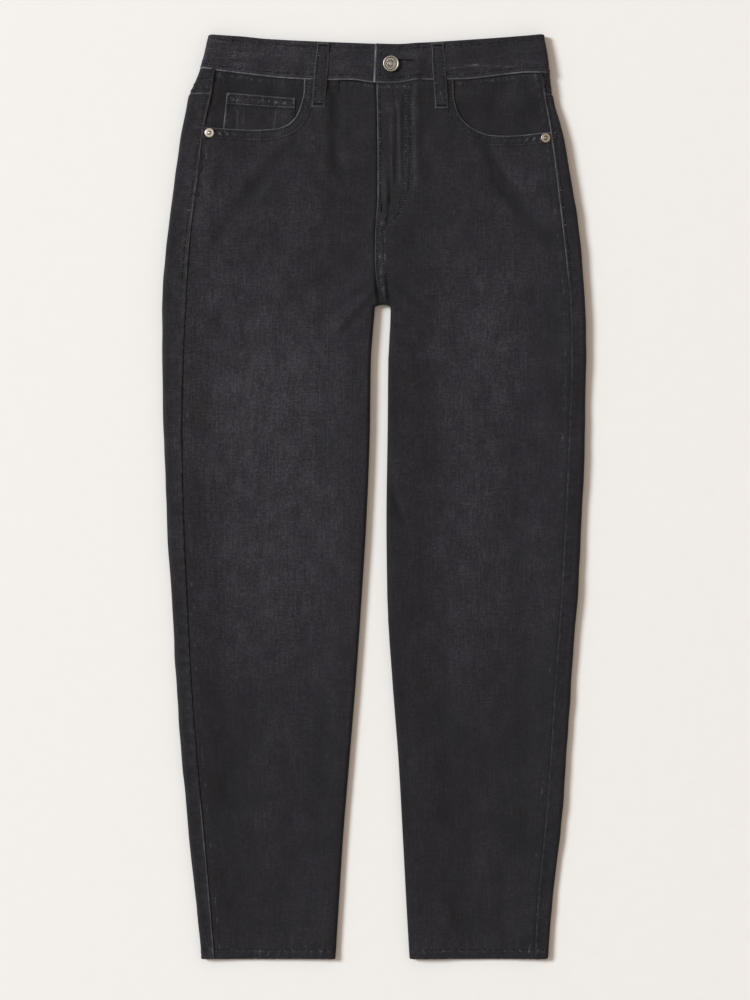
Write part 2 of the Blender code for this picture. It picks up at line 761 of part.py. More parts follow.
# ----------------------------------------------------------- pocket sheets
mouth_tool = {}
for side in ("right", "left"):
    s = SIGN[side]
    table = MOUTH[side]
    run = [0.0]
    for (ax, ay), (bx, by) in zip(table, table[1:]):
        run.append(run[-1] + hypot(bx - ax, by - ay))
    fx = spline([(r, p[0]) for r, p in zip(run, table)])
    fy = spline([(r, p[1]) for r, p in zip(run, table)])
    line = [(fx(run[-1] * k / 22), fy(run[-1] * k / 22)) for k in range(23)]
    outline = [(line[0][0], 520.0)] + line
    outline += [(s * 240.0, line[-1][1]), (s * 240.0, 520.0)]
    mouth_tool[side] = prism("trim_mouth_" + side, outline, -5.0, 40.0)

    g, nrm = fronts[side]
    columns = len(g[0])
    keep = range(4, columns) if side == "left" else range(0, columns - 4)
    # the pocket sheet uses the front panel's own points, moved in
    sub, sub_n = [], []
    hem = -1 if side == "left" else 0
    for row, nrow in zip(g, nrm):
        if row[0].y < 299.0:
            continue
        row = [p.copy() for p in row]
        row[hem].x -= s * 0.5
        sub.append([Vector((row[i].x, row[i].y, row[i].z
                            - mouth_lift(side, row[i].x, row[i].y)
                            - (fly_lift(row[i].x, row[i].y)
                               if side == "left" else 0.0)))
                    for i in keep])
        sub_n.append([nrow[i] for i in keep])
    pocket = sheet("pocket_" + side, sub, DENIM_DARK, POCKET_WALL / 2,
                   POCKET_WALL / 2, sub_n)
    cut(pocket, band_trim)
    cut(panels["front_" + side], band_trim)
    cut(panels["front_" + side], mouth_tool[side])

    if side == "right":
        rise = POCKET_WALL + GAP
        coin = sheet("coin_pocket",
                     [[p + Vector((0, 0, rise)) for p in row[1:-1]]
                      for row in sub[2:-1]],
                     DENIM_DARK, POCKET_WALL / 2, POCKET_WALL / 2,
                     [n[1:-1] for n in sub_n[2:-1]])
        tool = prism("trim_coin_pocket",
                     [COIN[k] for k in ("top_outer", "top_inner",
                                        "foot_inner", "foot_outer")],
                     -5.0, 40.0)
        cut(coin, tool, 'INTERSECT')

# ------------------------------------------------------------ back pockets
for side in ("right", "left"):
    s = SIGN[side]
    b = BACK_POCKET
    outline = []
    for across, down in ((-0.5 * b["width_top"], 0.0),
                         (0.5 * b["width_top"], 0.0),
                         (0.5 * b["width_foot"], b["side"]),
                         (0.0, b["side"] + b["point"]),
                         (-0.5 * b["width_foot"], b["side"])):
        # the pocket leans with the yoke: its outer end sits higher
        x = b["centre"] + across * cos(b["lean"]) - down * sin(b["lean"]) * -1
        y = b["top"] + across * sin(b["lean"]) - down * cos(b["lean"])
        outline.append((s * x, y))
    prism("back_pocket_" + side, outline, 0.0, WALL, DENIM_DARK)

# -------------------------------------------------------------- belt loops
for side, x_top, y_top, x_foot, y_foot in FRONT_LOOPS:
    rows = []
    for y in (y_foot, y_foot + 8.0, 443.0, 450.5, 459.5, 466.0, 480.0, y_top):
        xc = mix(x_foot, x_top, (y - y_foot) / (y_top - y_foot))
        row = []
        xs = [xc - LOOP_WIDTH / 2, xc, xc + LOOP_WIDTH / 2]
        if y < 455.0:
            z = max(front_z(side, x, y) for x in xs) + WALL / 2
        else:
            z = max(base_z(side, x, y) + BAND_RISE
                    + (band_lap(x) if side == "left" else 0.0)
                    for x in xs) + BAND_WALL / 2
        if 448.0 < y < 455.0:
            z += 0.9
        z += GAP + 0.15 + LOOP_WALL / 2
        rows.append([Vector((x, y, z)) for x in xs])
    nrm = upward(rows, grid_normals(rows))
    sheet("belt_loop_front_" + side, rows, DENIM_BAND, LOOP_WALL / 2,
          LOOP_WALL / 2, nrm)
for name, x, y_top, y_foot in BACK_LOOPS:
    h = LOOP_WIDTH / 2
    prism("belt_loop_back_" + name,
          [(x - h, y_foot), (x + h, y_foot), (x + h, y_top), (x - h, y_top)],
          0.0, WALL, DENIM_BAND)

# --------------------------------------------------------------------- zip
rows = []
for y in (FLY_FOOT + 2.0, 345.0, 372.0, 400.0, 425.0, 442.0, 447.0):
    x0 = centre_x(y) + FLY_UNDER + 0.6
    rows.append([Vector((x0 + d, y, base_z("left", x0 + d, y)))
                 for d in (0.0, 9.0, 18.0)])
sheet("fly_zip", rows, ZIP, 0.5, 0.5, upward(rows, grid_normals(rows)))

# -------------------------------------------------------- button and rivets
b = BUTTON
z_under = base_z("left", b["x"], b["y"]) + BAND_RISE
z_over = z_under + BAND_WALL + GAP
plate_top = z_under - BAND_WALL / 2 - GAP
cap = z_over + BAND_WALL / 2 + GAP + 0.1
r, h = b["radius"], b["rise"]
turned("waist_button", [
    (0.0, plate_top - 0.7), (b["plate"], plate_top - 0.7),
    (b["plate"], plate_top), (b["shank"], plate_top), (b["shank"], cap),
    (r - 0.8, cap), (r, cap + 0.5), (r, cap + h - 0.9),
    (r - 0.7, cap + h - 0.1), (r - 1.6, cap + h), (r - 2.2, cap + h - 0.7),
    (3.2, cap + h - 0.8), (2.6, cap + h - 0.4), (0.0, cap + h - 0.3)],
    28, (b["x"], b["y"], 0.0), (0.0, 0.0, 1.0), METAL)


def disc(name, x, y, radius, z0, z1, n=20):
    return prism(name, [(x + radius * cos(2 * pi * k / n),
                         y + radius * sin(2 * pi * k / n))
                        for k in range(n)], z0, z1)


z_split = z_under + BAND_WALL / 2 + GAP / 2
cut(band, disc("trim_shank", b["x"], b["y"], b["shank"] + GAP + 0.1,
               3.0 + BAND_WALL / 2 + 0.05, z_split))
cut(band, disc("trim_eye", b["x"], b["y"], BUTTONHOLE["eye"], z_split, 30.0))
ax, ay = b["x"], b["y"]
bx, by = BUTTONHOLE["x"], BUTTONHOLE["y"]
a = atan2(by - ay, bx - ax)
w = BUTTONHOLE["width"] / 2
slot = [(ax - w * sin(a) * -1, ay - w * cos(a)),
        (bx - w * sin(a) * -1, by - w * cos(a)),
        (bx + w * cos(a), by + w * sin(a)),
        (bx - w * sin(a), by + w * cos(a)),
        (ax - w * sin(a), ay + w * cos(a))]
cut(band, prism("trim_buttonhole", slot, z_split, 30.0))

for side in ("right", "left"):
    x, y = RIVET_AT[side]
    h = 1.0
    gx = (front_z(side, x + h, y) - front_z(side, x - h, y)) / (2 * h)
    gy = (front_z(side, x, y + h) - front_z(side, x, y - h)) / (2 * h)
    axis = Vector((-gx, -gy, 1.0)).normalized()
    at = Vector((x, y, front_z(side, x, y)))
    r = RIVET
    head = WALL / 2 + GAP + 0.1
    foot = -(mouth_lift(side, x, y) + POCKET_WALL / 2 + GAP + 0.25)
    turned("rivet_" + side, [
        (0.0, foot - 0.8), (r["burr"], foot - 0.8), (r["burr"], foot),
        (r["post"], foot), (r["post"], head), (r["radius"] - 0.3, head),
        (r["radius"], head + 0.4), (r["radius"] * 0.84, head + 1.1),
        (r["radius"] * 0.5, head + r["rise"]), (r["radius"] * 0.34,
                                                head + r["rise"] - 0.4),
        (0.0, head + r["rise"] - 0.4)],
        18, at, axis, METAL if side == "right" else BRASS)
    hole = turned("trim_rivet_" + side, [
        (0.0, foot + 0.12), (r["post"] + GAP, foot + 0.12),
        (r["post"] + GAP, head - 0.05), (0.0, head - 0.05)],
        14, at, axis, METAL)
    cut(panels["front_" + side], hole)
    cut(bpy.data.objects["pocket_" + side], hole)
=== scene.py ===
"""Looks for the tapered jeans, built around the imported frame.

Every panel is a thin shell on the form of its solid: the same flattened tube,
with its drape, creases, seams, hems, stitches and wear added.  Lengths are in
millimetres until a mesh is made; MM turns them into metres.  The wearer's
right leg is at -X, the waist points to +Y and the front faces +Z.
"""

from math import atan2, cos, hypot, pi, sin, sqrt

import bpy
import numpy as np
from mathutils import Matrix, Vector


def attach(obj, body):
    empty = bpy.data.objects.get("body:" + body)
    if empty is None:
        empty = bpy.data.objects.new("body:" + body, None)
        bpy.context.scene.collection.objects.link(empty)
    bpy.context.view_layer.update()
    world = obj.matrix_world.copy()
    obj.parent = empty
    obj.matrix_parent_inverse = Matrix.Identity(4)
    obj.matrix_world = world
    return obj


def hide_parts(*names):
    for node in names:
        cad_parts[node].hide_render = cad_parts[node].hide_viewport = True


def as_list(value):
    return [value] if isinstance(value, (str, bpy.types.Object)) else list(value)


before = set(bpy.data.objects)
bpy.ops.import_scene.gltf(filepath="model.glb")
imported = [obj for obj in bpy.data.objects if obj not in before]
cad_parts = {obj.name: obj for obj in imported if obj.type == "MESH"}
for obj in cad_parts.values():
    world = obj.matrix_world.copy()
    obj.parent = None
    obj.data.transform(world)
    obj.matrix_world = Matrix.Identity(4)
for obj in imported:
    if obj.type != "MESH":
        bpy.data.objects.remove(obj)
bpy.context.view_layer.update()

MM = 0.001

# ------------------------------------------------------------------ sizes
WALL = 1.2
BAND_WALL = 2.4
POCKET_WALL = 1.0
LOOP_WALL = 1.4
GAP = 0.3
HEM_HEIGHT = 12.5
FOLD_REACH = 4.4
PUFF_REACH = 60.0
HEM_END = -503.3
Y_FORK = 209.8
X_FORK = 10.8
FORK_DEPTH = 2.8
LOOP_WIDTH = 12.6
FLY_UNDER = 14.0
FLY_FOOT = 318.0
FLY_LIFT = 1.5
BAND_LAP = 38.0
BAND_END = -0.2
BAND_RISE = 0.7
MOUTH_HEM = 11.5        # hem along a pocket mouth

BUTTON = dict(x=18.4, y=472.0, radius=8.7, rise=3.0)
BUTTONHOLE = dict(x=42.9, y=476.2, width=1.8)
RIVET_RADIUS = 5.0
RIVET_AT = {"right": (-179.3, 396.9), "left": (186.8, 391.2)}

# height along the leg, outer fold, side seam, inner fold
OUTLINE = {
    "right": (
        (HEM_END, -188.1, -174.5, -42.1),
        (-450.0, -193.1, -178.9, -38.8),
        (-373.0, -201.7, -185.6, -33.9),
        (-286.0, -209.1, -193.6, -26.8),
        (-199.0, -215.5, -200.3, -19.7),
        (-112.0, -221.1, -204.6, -13.7),
        (-25.0, -225.6, -208.5, -8.3),
        (74.0, -229.5, -210.5, -4.5),
        (150.0, -231.5, -208.9, -3.4),
        (201.8, -230.7, -206.5, 0.6),
        (259.0, -228.3, -203.4, 3.0),
        (302.0, -223.9, -199.2, 3.0),
        (346.0, -217.8, -193.3, 3.0),
        (401.0, -209.3, -186.3, 3.0),
        (440.0, -200.3, -177.8, 3.0),
        (467.8, -189.6, -172.0, 3.0),
        (503.0, -180.5, -165.0, 3.0),
    ),
    "left": (
        (HEM_END, 189.2, 175.9, 38.6),
        (-450.0, 193.9, 178.4, 35.5),
        (-373.0, 202.5, 185.7, 31.4),
        (-286.0, 209.2, 192.7, 26.5),
        (-199.0, 215.4, 197.9, 19.8),
        (-112.0, 221.3, 204.3, 14.4),
        (-25.0, 226.8, 209.0, 13.4),
        (74.0, 230.5, 213.2, 14.7),
        (150.0, 231.5, 215.4, 15.4),
        (201.8, 230.6, 214.6, 17.9),
        (259.0, 227.0, 209.7, 4.0),
        (302.0, 222.5, 204.9, 4.0),
        (346.0, 214.8, 199.6, 4.0),
        (401.0, 204.3, 192.2, 4.0),
        (440.0, 193.9, 185.2, 4.0),
        (463.0, 191.3, 180.4, 4.0),
        (503.3, 185.6, 175.0, 4.0),
    ),
}
# height along the leg, bottom layer, middle of the top one, top one at the
# outer fold, top one at the inner fold
LEVELS = (
    (HEM_END, 0.6, 4.7, 7.0, 6.9),
    (-488.0, 0.6, 4.7, 7.0, 6.9),
    (-460.0, 0.6, 3.6, 7.0, 6.9),
    (-400.0, 0.6, 2.9, 7.2, 7.0),
    (-200.0, 0.6, 2.9, 8.0, 7.6),
    (0.0, 0.6, 3.1, 9.0, 8.6),
    (150.0, 0.6, 3.6, 9.8, 9.4),
    (240.0, 2.1, 4.4, 10.4, 9.0),
    (300.0, 2.1, 4.8, 10.6, 9.0),
    (400.0, 2.1, 5.0, 10.4, 9.0),
    (440.0, 2.4, 5.3, 10.2, 9.0),
    (455.0, 2.7, 5.7, 10.0, 9.0),
    (472.0, 2.7, 5.8, 9.8, 9.0),
    (503.3, 2.7, 5.8, 9.2, 9.0),
)
# largest folds: from one point to another, height, width
FOLDS = (
    (143.0, 379.0, 203.0, 270.0, 1.2, 15.0),
    (88.0, 379.0, 148.0, 270.0, 1.0, 17.0),
    (-92.0, 379.0, -152.0, 259.0, 0.9, 17.0),
    (-24.0, 422.0, -26.0, 270.0, 0.8, 14.0),
    (-4.0, 217.0, -59.0, 166.0, 1.1, 13.0),
    (22.0, 217.0, 72.0, 161.0, 1.1, 13.0),
    (-135.0, 182.0, -146.0, -24.0, 1.0, 26.0),
    (115.0, 150.0, 126.0, -24.0, 0.9, 26.0),
    (-81.0, -68.0, -103.0, -221.0, 0.8, 24.0),
    (83.0, -68.0, 105.0, -243.0, 0.9, 24.0),
)
CENTRE = (
    (Y_FORK, X_FORK), (226.0, 4.6), (264.0, 1.6), (300.0, 2.4),
    (324.0, 4.2), (378.0, 4.4), (452.0, 3.2),
)
BAND_LOWER = (
    (-189.6, 467.8), (-150.0, 463.4), (-92.0, 457.3), (-54.0, 455.7),
    (-25.0, 456.0), (-4.0, 453.4), (12.0, 452.2), (28.0, 452.8),
    (48.0, 455.8), (97.0, 456.6), (149.0, 462.2), (166.0, 463.4),
    (191.3, 463.0),
)
BAND_UPPER = (
    (-180.5, 503.0), (-144.0, 501.2), (-118.0, 498.8), (-66.0, 496.1),
    (-13.0, 494.0), (26.0, 492.8), (52.0, 494.6), (78.0, 496.2),
    (131.0, 499.7), (185.6, 503.3),
)
MOUTH = {
    "right": ((-75.4, 463.0), (-76.6, 440.9), (-79.5, 427.8), (-85.3, 414.6),
              (-95.6, 405.1), (-110.2, 401.2), (-130.9, 400.3),
              (-157.1, 401.2), (-178.9, 402.3), (-192.0, 402.8)),
    "left": ((86.0, 463.0), (86.4, 440.3), (89.1, 425.7), (95.4, 413.2),
             (104.8, 403.8), (115.1, 398.1), (127.6, 394.6),
             (144.3, 393.8), (165.2, 395.0), (181.9, 396.5), (198.0, 397.2)),
}
FRONT_LOOPS = (
    ("right", -55.2, 495.0, -60.8, 426.0),
    ("left", 69.1, 495.0, 73.9, 424.6),
)
BACK_LOOPS = (
    ("right", -112.0, 496.0, 444.0),
    ("centre", 3.0, 491.0, 436.0),
    ("left", 116.0, 496.0, 444.0),
)
COIN = dict(top_outer=(-159.8, 440.3), top_inner=(-86.4, 434.4),
            foot_inner=(-89.5, 378.0), foot_outer=(-166.5, 378.0))
BACK_POCKET = dict(centre=106.0, top=402.0, width_top=142.0, width_foot=124.0,
                   side=116.0, point=24.0, lean=0.10)
YOKE_CENTRE = 398.0
YOKE_SIDE = {"right": 439.6, "left": 438.8}
BAND_BACK_CENTRE = 460.0
BACK_CENTRE_TOP = 3.0

SIGN = {"right": -1.0, "left": 1.0}
Y_MID = Y_FORK + WALL / 2


# ------------------------------------------------------------ small maths
def curve(rows, column=1):
    """Smooth curve through a table's rows that never overshoots them."""
    rows = sorted(rows)
    a = np.array([row[0] for row in rows], float)
    b = np.array([row[column] for row in rows], float)
    step = np.diff(a)
    rate = np.diff(b) / step
    slope = np.concatenate(([rate[0]], np.zeros(len(a) - 2), [rate[-1]]))
    for i in range(1, len(a) - 1):
        if rate[i - 1] * rate[i] > 0.0:
            w0 = 2.0 * step[i] + step[i - 1]
            w1 = step[i] + 2.0 * step[i - 1]
            slope[i] = (w0 + w1) / (w0 / rate[i - 1] + w1 / rate[i])

    def value(t):
        t = np.clip(np.asarray(t, float), a[0], a[-1])
        i = np.clip(np.searchsorted(a, t, side="right") - 1, 0, len(step) - 1)
        u = (t - a[i]) / step[i]
        return ((2 * u ** 3 - 3 * u ** 2 + 1) * b[i]
                + (u ** 3 - 2 * u ** 2 + u) * step[i] * slope[i]
                + (3 * u ** 2 - 2 * u ** 3) * b[i + 1]
                + (u ** 3 - u ** 2) * step[i] * slope[i + 1])
    return value


def ramp(t, a, b):
    t = np.clip((np.asarray(t, float) - a) / (b - a), 0.0, 1.0)
    return t * t * (3.0 - 2.0 * t)


def mix(a, b, t):
    return a + (b - a) * t


def bell(d, width):
    return np.exp(-(d / width) ** 2)


outer_x = {s: curve(OUTLINE[s], 1) for s in SIGN}
seam_x = {s: curve(OUTLINE[s], 2) for s in SIGN}
table_inner = {s: curve(OUTLINE[s], 3) for s in SIGN}
bottom_z = curve(LEVELS, 1)
middle_z = curve(LEVELS, 2)
outer_z = curve(LEVELS, 3)
inner_z = curve(LEVELS, 4)
centre_x = curve(CENTRE)
lower_y = curve(BAND_LOWER)
upper_y = curve(BAND_UPPER)


def inner_x(side, y):
    y = np.asarray(y, float)
    s = SIGN[side]
    depth = np.clip((Y_MID - y) / (FORK_DEPTH + WALL / 2), 0.0, 1.0)
    reach = (float(table_inner[side](Y_FORK - FORK_DEPTH)) + s * WALL / 2
             - X_FORK)
    arc = X_FORK + reach * np.sqrt(1.0 - (1.0 - depth) ** 2)
    leg = table_inner[side](y) + s * WALL / 2
    return np.where(y >= Y_MID, X_FORK, np.where(depth >= 1.0, leg, arc))


def fork_line(side):
    ys = [Y_MID - (FORK_DEPTH + WALL / 2) * (1 - cos(k * pi / 24))
          for k in range(13)]
    ys += [Y_FORK - FORK_DEPTH - 6 - 24 * k for k in range(32)]
    ys = np.array(ys)
    return np.stack([inner_x(side, ys), ys], axis=1)


FORK_LINE = {s: fork_line(s) for s in SIGN}
FORK_ARC = np.concatenate([FORK_LINE["right"][:13][::-1],
                           FORK_LINE["left"][:13]])


def to_line(x, y, line):
    """Distance from a polyline, the run along it to the nearest point, and
    the side of it (positive to the left of its direction)."""
    x = np.asarray(x, float)
    y = np.asarray(y, float)
    best = np.full(x.shape, 1e9)
    run_at = np.zeros(x.shape)
    hand = np.zeros(x.shape)
    run = 0.0
    for (ax, ay), (bx, by) in zip(line[:-1], line[1:]):
        ex, ey = bx - ax, by - ay
        length2 = max(ex * ex + ey * ey, 1e-9)
        k = np.clip(((x - ax) * ex + (y - ay) * ey) / length2, 0.0, 1.0)
        dx, dy = x - ax - k * ex, y - ay - k * ey
        d = np.hypot(dx, dy)
        near = d < best
        best = np.where(near, d, best)
        run_at = np.where(near, run + k * sqrt(length2), run_at)
        hand = np.where(near, np.sign(ex * dy - ey * dx), hand)
        run += sqrt(length2)
    return best, run_at, hand


def to_fork(side, x, y):
    x, y = np.broadcast_arrays(np.asarray(x, float), np.asarray(y, float))
    d = to_line(x, y, FORK_LINE[side])[0]
    above = y >= Y_MID
    if np.any(above):
        d = np.where(above, to_line(x, y, FORK_ARC)[0], d)
    return d


def falloff(d):
    t = np.clip(d / PUFF_REACH, 0.0, 1.0)
    return (1.0 - t * t) ** 2


def fold_rise(x, y):
    rise = 0.0
    for x0, y0, x1, y1, height, width in FOLDS:
        ex, ey = x1 - x0, y1 - y0
        length = hypot(ex, ey)
        along = ((x - x0) * ex + (y - y0) * ey) / length
        across = ((x - x0) * ey - (y - y0) * ex) / length
        end = np.maximum(np.maximum(-along, along - length), 0.0)
        rise = rise + height * np.exp(-(across / width) ** 2
                                      - (end / (2 * width)) ** 2)
    return rise


def base_z(side, x, y, d_in=None):
    m = middle_z(y) + fold_rise(x, y)
    d_out = np.abs(outer_x[side](y) - x)
    if d_in is None:
        d_in = to_fork(side, x, y)
    return (m + (outer_z(y) - m) * falloff(d_out)
            + (inner_z(y) - m) * falloff(d_in))


def seam_distance(side, x, y):
    return (seam_x[side](y) - x) * SIGN[side]


def mouth_lift(side, x, y):
    full = 1.4
    if side == "right":
        full = mix(2.7, 1.4, ramp(y, 438.0, 450.0))
    across = ramp(np.abs(x), 24.0, 55.0)
    return full * across * ramp(y, 236.0, 300.0)


def fly_lift(x, y):
    edge = centre_x(np.maximum(y, FLY_FOOT))
    across = 1.0 - ramp(x - edge, 38.0, 62.0)
    rise = FLY_LIFT + 1.1 * ramp(y, 425.0, 455.0)
    return rise * across * ramp(y, 268.0, 299.0)


# ----------------------------------------------------------------- relief
def waves(seed, count, low, high, stretch=1.0):
    """Smooth irregular field of about unit size, made of plane waves."""
    rng = np.random.default_rng(seed)
    wave = low * (high / low) ** rng.random(count)
    angle = rng.random(count) * pi
    phase = rng.random(count) * 2 * pi
    kx = 2 * pi * np.cos(angle) / wave
    ky = 2 * pi * np.sin(angle) / wave / stretch

    def value(x, y):
        total = np.zeros(np.broadcast(x, y).shape)
        for a, b, c in zip(kx, ky, phase):
            total += np.sin(a * x + b * y + c)
        return total * sqrt(2.0 / count)
    return value


drape = waves(3, 18, 55.0, 150.0, 1.8)
ruffle = waves(7, 22, 16.0, 42.0, 1.9)
pucker = waves(11, 26, 5.0, 11.0, 1.0)
tiny = waves(13, 30, 2.6, 6.0, 1.0)
slow_a = waves(17, 14, 60.0, 180.0, 1.5)
slow_b = waves(19, 14, 24.0, 60.0, 1.5)
patchy = waves(23, 26, 3.0, 12.0, 1.6)


def at(px, py):
    """Place on the garment of a point of the front view's frame."""
    return ((px - 374.1) * 1.09, (497.45 - py) * 1.09)


# creases: two points in the front view's frame, depth (below zero) or height,
# half width, all in millimetres but the points
CREASES = (
    # hips, viewer's right: a long soft trough with its lit bank
    (485, 143, 503, 185, -1.2, 6.0), (503, 185, 543, 238, -1.3, 7.5),
    (497, 150, 520, 188, 0.7, 6.0), (462, 118, 478, 150, 0.45, 6.0),
    (470, 160, 500, 222, 0.45, 9.0), (520, 178, 556, 214, 0.5, 7.0),
    # hips, viewer's left
    (293, 142, 254, 190, -0.8, 7.0), (254, 190, 217, 238, -0.9, 8.0),
    (280, 138, 242, 182, 0.5, 7.0), (303, 99, 313, 116, -0.7, 2.6),
    (309, 97, 319, 112, 0.4, 2.6), (333, 86, 334, 165, -0.9, 5.0),
    (345, 92, 347, 176, 0.45, 5.0), (322, 92, 324, 150, 0.35, 4.5),
    (338, 176, 322, 236, -0.4, 8.0),
    # fly
    (391.5, 112, 392.5, 178, 0.30, 1.8), (395.5, 112, 395.6, 180, -0.30, 1.7),
    (399, 104, 399.6, 182, 0.34, 2.0), (403, 98, 402.8, 172, -0.26, 1.9),
    (415, 92, 414.6, 176, 0.40, 2.4),
    (388.6, 184, 388.8, 200, -0.7, 1.7), (388.8, 200, 386.2, 222, -0.7, 1.7),
    (383.5, 184, 383.5, 196, 0.4, 3.0), (424, 110, 430, 176, -0.45, 5.0),
    # crotch
    (377, 284, 379, 303, -0.9, 2.2), (387, 279, 388, 297, -0.7, 2.0),
    (383, 262, 384, 292, 0.5, 3.0), (371, 300, 343, 330, -0.9, 4.5),
    (365, 288, 330, 312, -0.6, 5.0), (358, 306, 322, 352, 0.6, 6.0),
    (394, 300, 424, 336, -0.9, 4.5), (398, 288, 432, 312, -0.6, 5.0),
    (402, 308, 440, 356, 0.6, 6.0), (350, 260, 300, 288, -0.45, 8.0),
    (410, 258, 462, 290, -0.45, 8.0),
    # thighs and knees
    (392, 495, 402, 520, -0.9, 4.0), (398, 470, 404, 500, 0.45, 5.0),
    (214, 330, 204, 420, -0.5, 10.0), (336, 360, 326, 470, -0.4, 12.0),
    (268, 300, 262, 396, 0.4, 14.0), (548, 300, 556, 404, -0.5, 10.0),
    (430, 392, 440, 486, -0.4, 11.0), (492, 310, 500, 396, 0.4, 14.0),
    (300, 520, 292, 606, -0.45, 11.0), (238, 566, 246, 640, 0.4, 12.0),
    (470, 546, 482, 640, -0.45, 12.0), (530, 470, 536, 566, 0.4, 12.0),
    # calves
    (216, 690, 226, 800, -0.5, 10.0), (322, 700, 318, 812, -0.4, 9.0),
    (272, 742, 270, 860, 0.45, 12.0), (440, 702, 448, 816, -0.45, 10.0),
    (524, 722, 522, 838, -0.5, 9.0), (486, 790, 484, 900, 0.4, 11.0),
    (236, 872, 240, 936, -0.4, 8.0), (300, 880, 298, 940, 0.35, 8.0),
    (500, 872, 502, 934, -0.35, 8.0), (444, 880, 446, 934, 0.35, 8.0),
)


def line_rise(x, y, x0, y0, x1, y1, height, width):
    ex, ey = x1 - x0, y1 - y0
    length = max(hypot(ex, ey), 1e-6)
    along = ((x - x0) * ex + (y - y0) * ey) / length
    across = ((x - x0) * ey - (y - y0) * ex) / length
    end = np.maximum(np.maximum(-along, along - length), 0.0)
    bow = 0.9 * np.sin(along * 0.045 + x0)
    return height * np.exp(-((across - bow) / width) ** 2
                           - (end / (1.6 * width + 3.0)) ** 2)


def creases(x, y):
    rise = np.zeros(np.broadcast(x, y).shape)
    for a, b, c, d, height, width in CREASES:
        x0, y0 = at(a, b)
        x1, y1 = at(c, d)
        rise += line_rise(x, y, x0, y0, x1, y1, 1.25 * height, width * 1.09)
    return rise


def smooth_line(points, pitch=1.0):
    """Evenly spaced points on a smooth curve through the given ones."""
    run = [0.0]
    for (ax, ay), (bx, by) in zip(points, points[1:]):
        run.append(run[-1] + hypot(bx - ax, by - ay))
    fx = curve([(r, p[0]) for r, p in zip(run, points)])
    fy = curve([(r, p[1]) for r, p in zip(run, points)])
    n = max(int(run[-1] / pitch), 2)
    t = np.linspace(0.0, run[-1], n + 1)
    return np.stack([fx(t), fy(t)], axis=1)


def beside(line, off):
    """A line moved sideways, positive to the left of its direction."""
    t = np.gradient(line, axis=0)
    t /= np.linalg.norm(t, axis=1)[:, None]
    return line + np.stack([-t[:, 1], t[:, 0]], axis=1) * off


MOUTH_LINE = {s: smooth_line(MOUTH[s], 1.0) for s in SIGN}
# the panel lies to the left of the right mouth's direction, to the right of
# the left mouth's
INTO_PANEL = {"right": 1.0, "left": -1.0}

# fly topstitching: from the band down, then curving in to the fly edge
FLY_CURVE = smooth_line([at(410.6, 88), at(410.4, 120), at(410.0, 160),
                         at(408.6, 186), at(404.0, 203), at(397.6, 214),
                         at(391.0, 221.5), at(384.5, 226.5)], 1.0)
FLY_ROWS = (FLY_CURVE, beside(FLY_CURVE, -5.0))


def centre_line(y0, y1, off):
    ys = np.arange(y0, y1, 2.0)
    return np.stack([centre_x(ys) + off, ys], axis=1)


CENTRE_ROWS = (centre_line(216.0, 300.0, 1.9), centre_line(224.0, 300.0, 8.6))


def stitch_dip(d):
    """Cloth drawn in along a row of stitches."""
    return -0.36 * bell(d, 1.1) - 0.12 * bell(d, 3.2)


